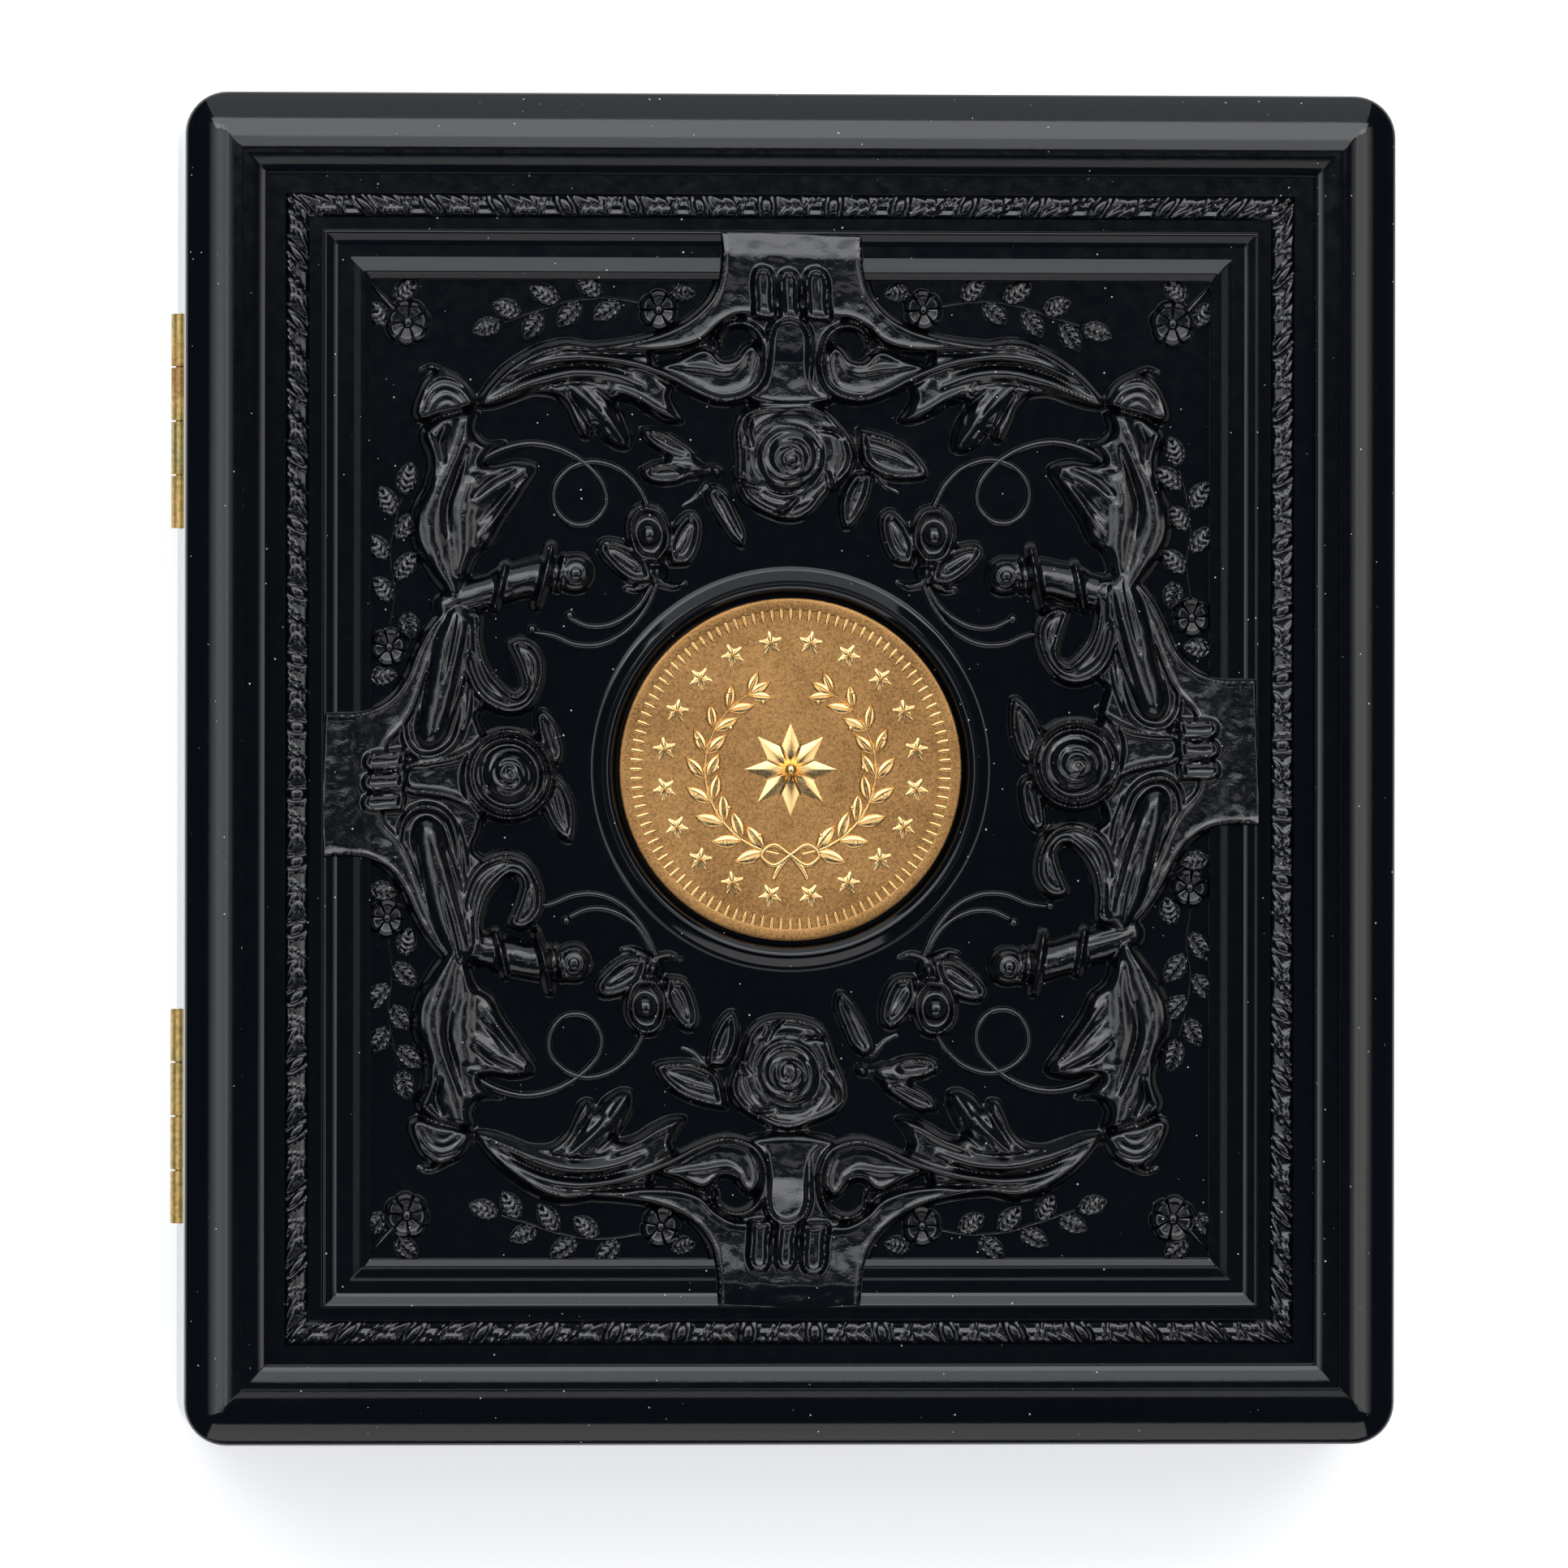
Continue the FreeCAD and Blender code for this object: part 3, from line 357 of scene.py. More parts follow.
def brass():
    """Worn brass, yellow with orange and greenish patches."""
    material, tree, shader, place = nodes_of("hinge_brass")
    patch = noise(tree, place, 190, 3)
    tone = ramp(tree, patch, [(0.30, (0.42, 0.37, 0.16)), (0.45, (0.62, 0.44, 0.16)), (0.58, (0.72, 0.48, 0.17)),
                              (0.75, (0.50, 0.27, 0.09))])
    spots = remap(tree, noise(tree, place, 2600, 5), 0.35, 0.6, 0.62, 1.0)
    tree.links.new(mix(tree, 1.0, tone, spots, "MULTIPLY"), shader.inputs["Base Color"])
    tree.links.new(remap(tree, patch, 0.3, 0.7, 0.40, 0.55), shader.inputs["Roughness"])
    shader.inputs["Metallic"].default_value = 1.0
    bump(tree, shader, noise(tree, place, 4000, 4), 0.25, 0.00004)
    return material


def minted(name, dark, light, rough_low, rough_high, grain_depth):
    """Struck metal with a sandy field."""
    material, tree, shader, place = nodes_of(name)
    grit = noise(tree, place, 5200, 3, 0.7)
    cloud = noise(tree, place, 160)
    tone = ramp(tree, times(tree, times(tree, grit, 0.6), times(tree, cloud, 0.4), "ADD"),
                [(0.36, dark), (0.62, light)])
    tree.links.new(tone, shader.inputs["Base Color"])
    tree.links.new(remap(tree, grit, 0.35, 0.65, rough_low, rough_high), shader.inputs["Roughness"])
    shader.inputs["Metallic"].default_value = 1.0
    bump(tree, shader, grit, 0.6, grain_depth)
    return material


def pile(name, dark, light, scale, depth):
    """Short pile: velvet or flock, with a soft sheen."""
    material, tree, shader, place = nodes_of(name)
    nap = noise(tree, place, scale, 6, 0.7)
    brush = noise(tree, place, 90, 3)
    tone = ramp(tree, times(tree, times(tree, nap, 0.5), times(tree, brush, 0.5), "ADD"),
                [(0.36, dark), (0.64, light)])
    tree.links.new(tone, shader.inputs["Base Color"])
    shader.inputs["Roughness"].default_value = 0.95
    shader.inputs["Sheen Weight"].default_value = 0.6
    shader.inputs["Sheen Roughness"].default_value = 0.4
    shader.inputs["Sheen Tint"].default_value = (0.75, 0.35, 0.38, 1)
    bump(tree, shader, nap, 0.8, depth)
    return material


def clear_plastic():
    """Clear polished plastic with hairline scuffs."""
    material, tree, shader, place = nodes_of("capsule_clear")
    tone = ramp(tree, noise(tree, place, 40), [(0.3, (0.95, 0.97, 0.98)), (0.7, (1.0, 1.0, 1.0))])
    tree.links.new(tone, shader.inputs["Base Color"])
    scuff = noise(tree, place, 1500, 8, 0.8)
    tree.links.new(remap(tree, scuff, 0.45, 0.8, 0.015, 0.09), shader.inputs["Roughness"])
    shader.inputs["Transmission Weight"].default_value = 1.0
    shader.inputs["IOR"].default_value = 1.49
    bump(tree, shader, scuff, 0.05, 0.00002)
    return material


def fibre_board():
    """Grey-brown board with fibres."""
    material, tree, shader, place = nodes_of("pad_board")
    fibre = noise(tree, place, 1400, 8, 0.75)
    tree.links.new(ramp(tree, fibre, [(0.3, (0.22, 0.16, 0.10)), (0.7, (0.42, 0.33, 0.22))]),
                   shader.inputs["Base Color"])
    tree.links.new(remap(tree, fibre, 0.3, 0.7, 0.75, 0.95), shader.inputs["Roughness"])
    bump(tree, shader, fibre, 0.5, 0.00008)
    return material


def foam_tape():
    """Pale foam tape with open cells."""
    material, tree, shader, place = nodes_of("adhesive")
    cells = tree.nodes.new("ShaderNodeTexVoronoi")
    cells.inputs["Scale"].default_value = 3500
    tree.links.new(place, cells.inputs["Vector"])
    tree.links.new(ramp(tree, cells.outputs["Distance"], [(0.1, (0.55, 0.54, 0.5)), (0.6, (0.8, 0.79, 0.75))]),
                   shader.inputs["Base Color"])
    shader.inputs["Roughness"].default_value = 0.8
    bump(tree, shader, cells.outputs["Distance"], 0.5, 0.0001)
    return material


GOLD_DARK, GOLD_LIGHT = (0.225, 0.116, 0.040), (0.50, 0.270, 0.100)
# Gold of the coins' raised design: the field's gold painted lighter as a painted highlight, on a smoother finish
GOLD_PAINTED_HIGHLIGHT, GOLD_PAINTED_HIGHLIGHT_LIGHT = (0.74, 0.44, 0.16), (0.92, 0.62, 0.27)
SILVER_DARK, SILVER_LIGHT = (0.52, 0.53, 0.54), (0.80, 0.80, 0.79)
SILVER_BRIGHT, SILVER_BRIGHT_LIGHT = (0.62, 0.62, 0.62), (0.86, 0.86, 0.85)
FLOCK_DARK, FLOCK_LIGHT = (0.055, 0.004, 0.008), (0.17, 0.014, 0.026)
VELVET_DARK, VELVET_LIGHT = (0.07, 0.004, 0.009), (0.22, 0.016, 0.030)
PLASTIC = black_plastic("case_black", 2200, 0.000004, 400, 1.0, 0.065, 0.105, 1.5)
CARVED = black_plastic("case_black_carved", 4200, 0.00002, 1300, 3.0, 0.09, 0.17, 1.58)
FINISHES = {
    "case_black": PLASTIC,
    "hinge_brass": brass(),
    "coin_gold": minted("coin_gold", GOLD_DARK, GOLD_LIGHT, 0.34, 0.52, 0.00003),
    # The raised gold design is a lighter copy of the field's gold: a painted highlight
    "coin_gold_relief": minted("coin_gold_relief", GOLD_PAINTED_HIGHLIGHT, GOLD_PAINTED_HIGHLIGHT_LIGHT, 0.2, 0.32, 0.000008),
    "coin_silver_relief": minted("coin_silver_relief", SILVER_BRIGHT, SILVER_BRIGHT_LIGHT, 0.3, 0.42, 0.00001),
    "coin_silver": minted("coin_silver", SILVER_DARK, SILVER_LIGHT, 0.10, 0.26, 0.000008),
    "capsule_clear": clear_plastic(),
    "tray_flock": pile("tray_flock", FLOCK_DARK, FLOCK_LIGHT, 5200, 0.0001),
    "pad_velvet": pile("pad_velvet", VELVET_DARK, VELVET_LIGHT, 4200, 0.0001),
    "pad_board": fibre_board(),
    "adhesive": foam_tape(),
}
for subpart in frame["record"]["subparts"]:
    data = frame["nodes"][subpart["node"]].data
    data.materials.clear()
    data.materials.append(FINISHES[subpart["material_slot"]])


# Shell of the lid's cover: one profile carried round the lid, the panel and the seat of the coin

SIDE_PROFILE = [(0.0, FOOT - PANEL), (0.0, 1.05), (0.04, 1.25), (0.13, 1.40)]
OVOLO_START, OVOLO_TRIM = 0.22, 0.3
OVOLO_GROOVES = (2.72, 3.05)
GROOVE_DEPTH, GROOVE_WIDTH = 0.03, 0.05
LIP_PROFILE = [(4.36, CREST_RISE), (4.40, 3.06), (4.45, 2.95), (4.48, 2.75), (4.5, LEDGE_RISE), (4.8, LEDGE_RISE)]
CUSP_FALL = ((1, 0.077), (2, 0.0625), (7, 0.036))
GUTTER_PROFILE = [(6.23, 1.9), (6.29, 1.6), (6.34, 0.3), (6.36, 0.0), (7.8, 0.0), (9.85, 0.0), (10.74, 0.0)]
FRAME_PROFILE = [(10.80, 0.95), (10.86, 1.10), (10.93, 1.15), (11.0, 1.15), (11.05, 1.13), (11.1, 1.122),
                 (11.5, 1.074), (11.9, 1.026), (11.95, 1.0), (11.98, FRAME_RISE), (12.9, FRAME_RISE),
                 (12.97, FRAME_RISE), (13.3, 0.943), (13.7, 0.996), (13.98, 1.033), (14.06, 1.036),
                 (14.12, 1.03), (14.3, 1.002), (14.6, 0.954), (14.64, 0.9), (14.68, 0.3), (14.7, 0.0),
                 (PANEL_INSET, 0.0)]
SEAT_PROFILE = [(RING_RADIUS + 0.4, 0.0), (RING_RADIUS + 0.1, 0.0), (RING_RADIUS, 0.03), (15.45, 0.14),
                (14.95, 0.46), (14.86, 0.5), (14.82, 0.42), (14.76, 0.42), (14.72, RING_RISE), (14.5, RING_RISE),
                (14.4, 0.5), (13.95, 0.02), (13.88, -0.08), (RECESS_RADIUS, -0.2),
                (RECESS_RADIUS, -RECESS_DEPTH), (2.0, -RECESS_DEPTH)]


def moulding():
    """Profile from the foot of the side to the edge of the panel, as insets and heights above the panel."""
    profile = list(SIDE_PROFILE)
    for k in range(OVOLO_STEPS + 1):
        inset = OVOLO_START + (OVOLO_INSET - OVOLO_TRIM) * k / OVOLO_STEPS
        groove = GROOVE_DEPTH * sum(math.exp(-((inset - at) / GROOVE_WIDTH) ** 2) for at in OVOLO_GROOVES)
        drop = OVOLO_RADIUS - math.sqrt(OVOLO_RADIUS ** 2 - (OVOLO_INSET - inset) ** 2)
        profile.append((inset, CREST_RISE - drop - groove))
    profile += LIP_PROFILE
    for k in range(CUSP_STEPS + 1):
        share = k / CUSP_STEPS
        fall = (CUSP_END - CUSP_INSET) * sum(weight * share ** power for power, weight in CUSP_FALL)
        profile.append((CUSP_INSET + (CUSP_END - CUSP_INSET) * share, LEDGE_RISE - fall))
    return profile + GUTTER_PROFILE + FRAME_PROFILE


def frame_loop(inset, height):
    """One loop round the lid at an inset, with the same count of points at every inset."""
    radius = max(CORNER_RADIUS - inset, MITRE_RADIUS)
    half_x, half_y = HALF_X - inset - radius, HALF_Y - inset - radius
    corners = []
    for sign_x, sign_y, start in ((1, 1, 0), (-1, 1, 90), (-1, -1, 180), (1, -1, 270)):
        turns = [math.radians(start + 90 * k / CORNER_STEPS) for k in range(CORNER_STEPS + 1)]
        corners.append([(sign_x * half_x + radius * math.cos(a), sign_y * half_y + radius * math.sin(a))
                        for a in turns])
    loop = []
    for corner, following in zip(corners, corners[1:] + corners[:1]):
        loop += corner
        start, end = np.array(corner[-1]), np.array(following[0])
        loop += [tuple(start + (end - start) * k / SIDE_STEPS) for k in range(1, SIDE_STEPS)]
    return np.array([(x, y, PANEL + height) for x, y in loop])


def coin_loop(radius, height, angles):
    """One loop round the coin's seat."""
    level = np.full_like(angles, PANEL + height)
    return np.stack([radius * np.cos(angles), radius * np.sin(angles), level], 1)


def lid_shell():
    """The closed shell of the lid's cover with a flat panel and the coin's seat."""
    loops = [frame_loop(inset, height) for inset, height in moulding()]
    edge = loops[-1]
    angles = np.arctan2(edge[:, 1], edge[:, 0])
    loops += [coin_loop(radius, height, angles) for radius, height in SEAT_PROFILE]
    shell = Carving(PANEL)
    shell.loops(np.array(loops))
    return shell.piece("lid_cover_shell", "lid", PLASTIC)


# Ribbon-and-reed band that runs round the lid in the gutter

BAND_RISE = 0.24
BAND_CROWN = 0.34
BAND_PITCH = 5.2
BAND_STEP = 0.11
BAND_ACROSS = 19


def ribbon_unit(u, q):
    """Relief of one unit of the band, for a share along it, u, and a place across it, q."""
    a = np.abs(q)
    bow = 0.035 * (1 - q * q)
    ball = np.sqrt(np.clip(1 - ((u - 0.15) / 0.09) ** 2 - (q / 0.75) ** 2, 0, 1))
    cuffs = np.exp(-((u - 0.03 + bow) / 0.022) ** 2) + np.exp(-((u - 0.27 - bow) / 0.022) ** 2)
    ends = np.clip((u - 0.29) / 0.03, 0, 1), np.clip((0.6 - u) / 0.05, 0, 1)
    reeds = (0.5 + 0.4 * np.cos(3 * math.pi * q)) * ends[0] * ends[1]
    lean = u - 0.53 + 0.13 * q
    ribbon = sum(np.exp(-((lean - shift) / 0.024) ** 2) for shift in (-0.045, 0.045))
    lobes = np.zeros_like(u + q)
    for middle, tilt in ((0.70, 0.10), (0.85, 0.16)):
        along_lobe = (u - middle - tilt * (a - 0.45)) / 0.08
        lobes = np.maximum(lobes, np.sqrt(np.clip(1 - along_lobe ** 2 - ((a - 0.45) / 0.5) ** 2, 0, 1)))
    return np.maximum.reduce([ball, 0.85 * cuffs, 0.7 * reeds, 0.95 * ribbon, 0.85 * lobes + 0 * u])


def ribbon_band():
    """Four straight runs of the band that meet in mitres."""
    band = Carving(PANEL)
    q = np.sin(np.linspace(-1, 1, BAND_ACROSS) * math.pi / 2)[None, :]
    inset = (BAND_OUTER + BAND_INNER) / 2 - q * (BAND_INNER - BAND_OUTER) / 2
    for run, (across, reach) in enumerate(((HALF_X, HALF_Y), (HALF_Y, HALF_X)) * 2):
        length = 2 * (reach - (BAND_OUTER + BAND_INNER) / 2)
        t = np.linspace(-1, 1, int(length / BAND_STEP))[:, None]
        count = round(length / BAND_PITCH) - 0.25
        u = np.mod((t + 1) / 2 * count + 0.4, 1)
        crown = np.sqrt(np.clip(1 - np.abs(q) ** 3, 0, 1)) + 0 * t
        height = crown * (BAND_CROWN + BAND_RISE * ribbon_unit(u, q))
        x, y = across - inset + 0 * t, t * (reach - inset)
        turn = math.radians(90 * run)
        c, s = math.cos(turn), math.sin(turn)
        band.patch(np.dstack([c * x - s * y, s * x + c * y, PANEL + height])[:, ::-1])
    return band.piece("lid_ribbon_band", "lid", CARVED)


# Relief of the panel: heights on a fine raster, built up from masses, ridges and lines. Places are
# millimetres from the middle of the coin, in one quarter: x outwards from the upright middle line,
# y outwards from the level one. A side's own places are measured from the middle of its strap.

RASTER = 0.1
SOFTEN = 0.11
RIM_INSET, RIM_WIDTH = 0.26, 0.18
SKIRT_RISE, SKIRT_REACH = 0.16, 0.32
WARP = 0.16
TOOL_MARKS = 0.016
TOOL_MARK_SIZE = 0.32
HIDDEN = 0.04
RELIEF_STEP = 0.1285
SIDE_SHIFT = {-1: -1.15, 1: 1.35}
QUARTERS = {(-1, 1): "upper_left", (1, 1): "upper_right", (-1, -1): "lower_left", (1, -1): "lower_right"}

Mass = namedtuple("Mass", "outline rise edge rim dish", defaults=(0.9, 0.0, 0.0))
Ridge = namedtuple("Ridge", "points widths heights")
Line = namedtuple("Line", "points widths heights")


def ease(share):
    """A share that starts and ends gently."""
    share = np.clip(share, 0, 1)
    return share * share * (3 - 2 * share)


def soften(field, reach):
    """A field blurred over a reach in millimetres."""
    taps = np.arange(-int(3 * reach / RASTER) - 1, int(3 * reach / RASTER) + 2)
    weights = np.exp(-0.5 * (taps * RASTER / reach) ** 2)
    weights /= weights.sum()
    for axis in (0, 1):
        field = sum(weight * np.roll(field, tap, axis) for tap, weight in zip(taps, weights))
    return field


def off_path(spots, path):
    """How far places are from a path, and the nearest of its points to each."""
    away_x, away_y = (spots[:, :, None, axis] - path[:, axis] for axis in (0, 1))
    near = np.argmin(away_x ** 2 + away_y ** 2, axis=2)
    gaps = []
    for step in (-1, 1):
        run = path[np.clip(near + step, 0, len(path) - 1)] - path[near]
        share = np.sum((spots - path[near]) * run, axis=2) / np.maximum(np.sum(run * run, axis=2), 1e-12)
        gaps.append(np.linalg.norm(spots - path[near] - np.clip(share, 0, 1)[:, :, None] * run, axis=2))
    return np.minimum(*gaps), near


class Relief:
    """Heights above the panel over a rectangle."""

    def __init__(self, low, high):
        self.x = np.arange(low[0], high[0], RASTER)
        self.y = np.arange(low[1], high[1], RASTER)
        self.rise = np.zeros((len(self.y), len(self.x)))

    def window(self, points, margin):
        """Slices of the raster round some points, with the places there."""
        low, high = points.min(0) - margin, points.max(0) + margin
        where = (slice(*np.searchsorted(self.y, (low[1], high[1]))),
                 slice(*np.searchsorted(self.x, (low[0], high[0]))))
        return where, np.stack(np.meshgrid(self.x[where[1]], self.y[where[0]]), -1)

    def mass(self, outline, rise, edge, rim, dish):
        """A rounded mass inside a closed outline, with a raised rim and a dished middle."""
        loop = through(list(outline) + [outline[0]], 14 * len(outline))
        where, spots = self.window(loop, SKIRT_REACH)
        px, py = spots[:, :, None, 0], spots[:, :, None, 1]
        gap = off_path(spots, loop)[0]
        start, end = loop, np.roll(loop, -1, axis=0)
        drop = end[:, 1] - start[:, 1]
        drop = np.where(drop == 0, 1e-9, drop)
        crossing = ((start[:, 1] > py) != (end[:, 1] > py)) & (
            px < (end[:, 0] - start[:, 0]) * (py - start[:, 1]) / drop + start[:, 0])
        inside = crossing.sum(axis=2) % 2
        share = np.clip(gap / edge, 0, 1)
        level = rise(spots[:, :, 0], spots[:, :, 1]) if callable(rise) else rise
        body = level * np.sqrt(1 - (1 - share) ** 2) + rim * np.exp(-((gap - RIM_INSET) / RIM_WIDTH) ** 2)
        body -= dish * ease((gap - 1.2 * RIM_INSET) / 0.5)
        skirt = SKIRT_RISE * np.clip(1 - gap / SKIRT_REACH, 0, 1) ** 2
        self.rise[where] = np.maximum(self.rise[where], np.where(inside, np.maximum(body, skirt), skirt))

    def follow(self, points, widths, heights):
        """The raster near a path: its window, the share of the path's half width and the path's height there."""
        given = np.asarray(points, float)
        length = np.sum(np.linalg.norm(np.diff(given, axis=0), axis=1))
        path = through(given, max(8, int(length / RASTER)))
        s = np.linspace(0, 1, len(path))
        half = np.maximum(along(widths, s), 0.08) / 2
        where, spots = self.window(path, half.max())
        gap, near = off_path(spots, path)
        return where, np.clip(gap / half[near], 0, 1), along(heights, s)[near]

    def ridge(self, points, widths, heights):
        """A round ridge that stands on the panel."""
        where, share, rise = self.follow(points, widths, heights)
        self.rise[where] = np.maximum(self.rise[where], rise * np.sqrt(1 - share ** 2))

    def line(self, points, widths, heights):
        """A line raised on what is there, or cut into it where its height is negative."""
        where, share, rise = self.follow(points, widths, heights)
        self.rise[where] += rise * np.cos(share * math.pi / 2) ** 2 * ease(self.rise[where] / 0.5)

    def boss(self, centre, radius, rise):
        """A round boss."""
        where, spots = self.window(np.array([centre]), radius)
        share = np.clip(np.linalg.norm(spots - np.array(centre), axis=2) / radius, 0, 1)
        self.rise[where] = np.maximum(self.rise[where], rise * np.sqrt(1 - share ** 2))

    def carve(self, items):
        """Masses, ridges and lines in their order."""
        tools = {Mass: self.mass, Ridge: self.ridge, Line: self.line}
        for item in items:
            tools[type(item)](*item)

    def take(self, other, sign_x, sign_y, shift=0.0):
        """The higher of this and a mirrored, shifted copy of another relief."""
        columns = np.rint((sign_x * self.x - other.x[0]) / RASTER).astype(int)
        rows = np.rint((sign_y * (self.y - shift) - other.y[0]) / RASTER).astype(int)
        in_x = (columns >= 0) & (columns < len(other.x))
        in_y = (rows >= 0) & (rows < len(other.y))
        copy = other.rise[np.ix_(rows[in_y], columns[in_x])]
        spot = np.ix_(in_y, in_x)
        self.rise[spot] = np.maximum(self.rise[spot], copy)

    def at(self, x, y):
        """Heights at places, bent a little as a carver's hand would."""
        u = (x + WARP * np.sin(0.29 * y + 0.13 * x + 1.0) - self.x[0]) / RASTER
        v = (y + WARP * np.sin(0.31 * x - 0.17 * y + 0.4) - self.y[0]) / RASTER
        i = np.clip(v.astype(int), 0, len(self.y) - 2)
        j = np.clip(u.astype(int), 0, len(self.x) - 2)
        fy, fx = np.clip(v - i, 0, 1), np.clip(u - j, 0, 1)
        upper = self.rise[i, j] * (1 - fx) + self.rise[i, j + 1] * fx
        lower = self.rise[i + 1, j] * (1 - fx) + self.rise[i + 1, j + 1] * fx
        return upper * (1 - fy) + lower * fy


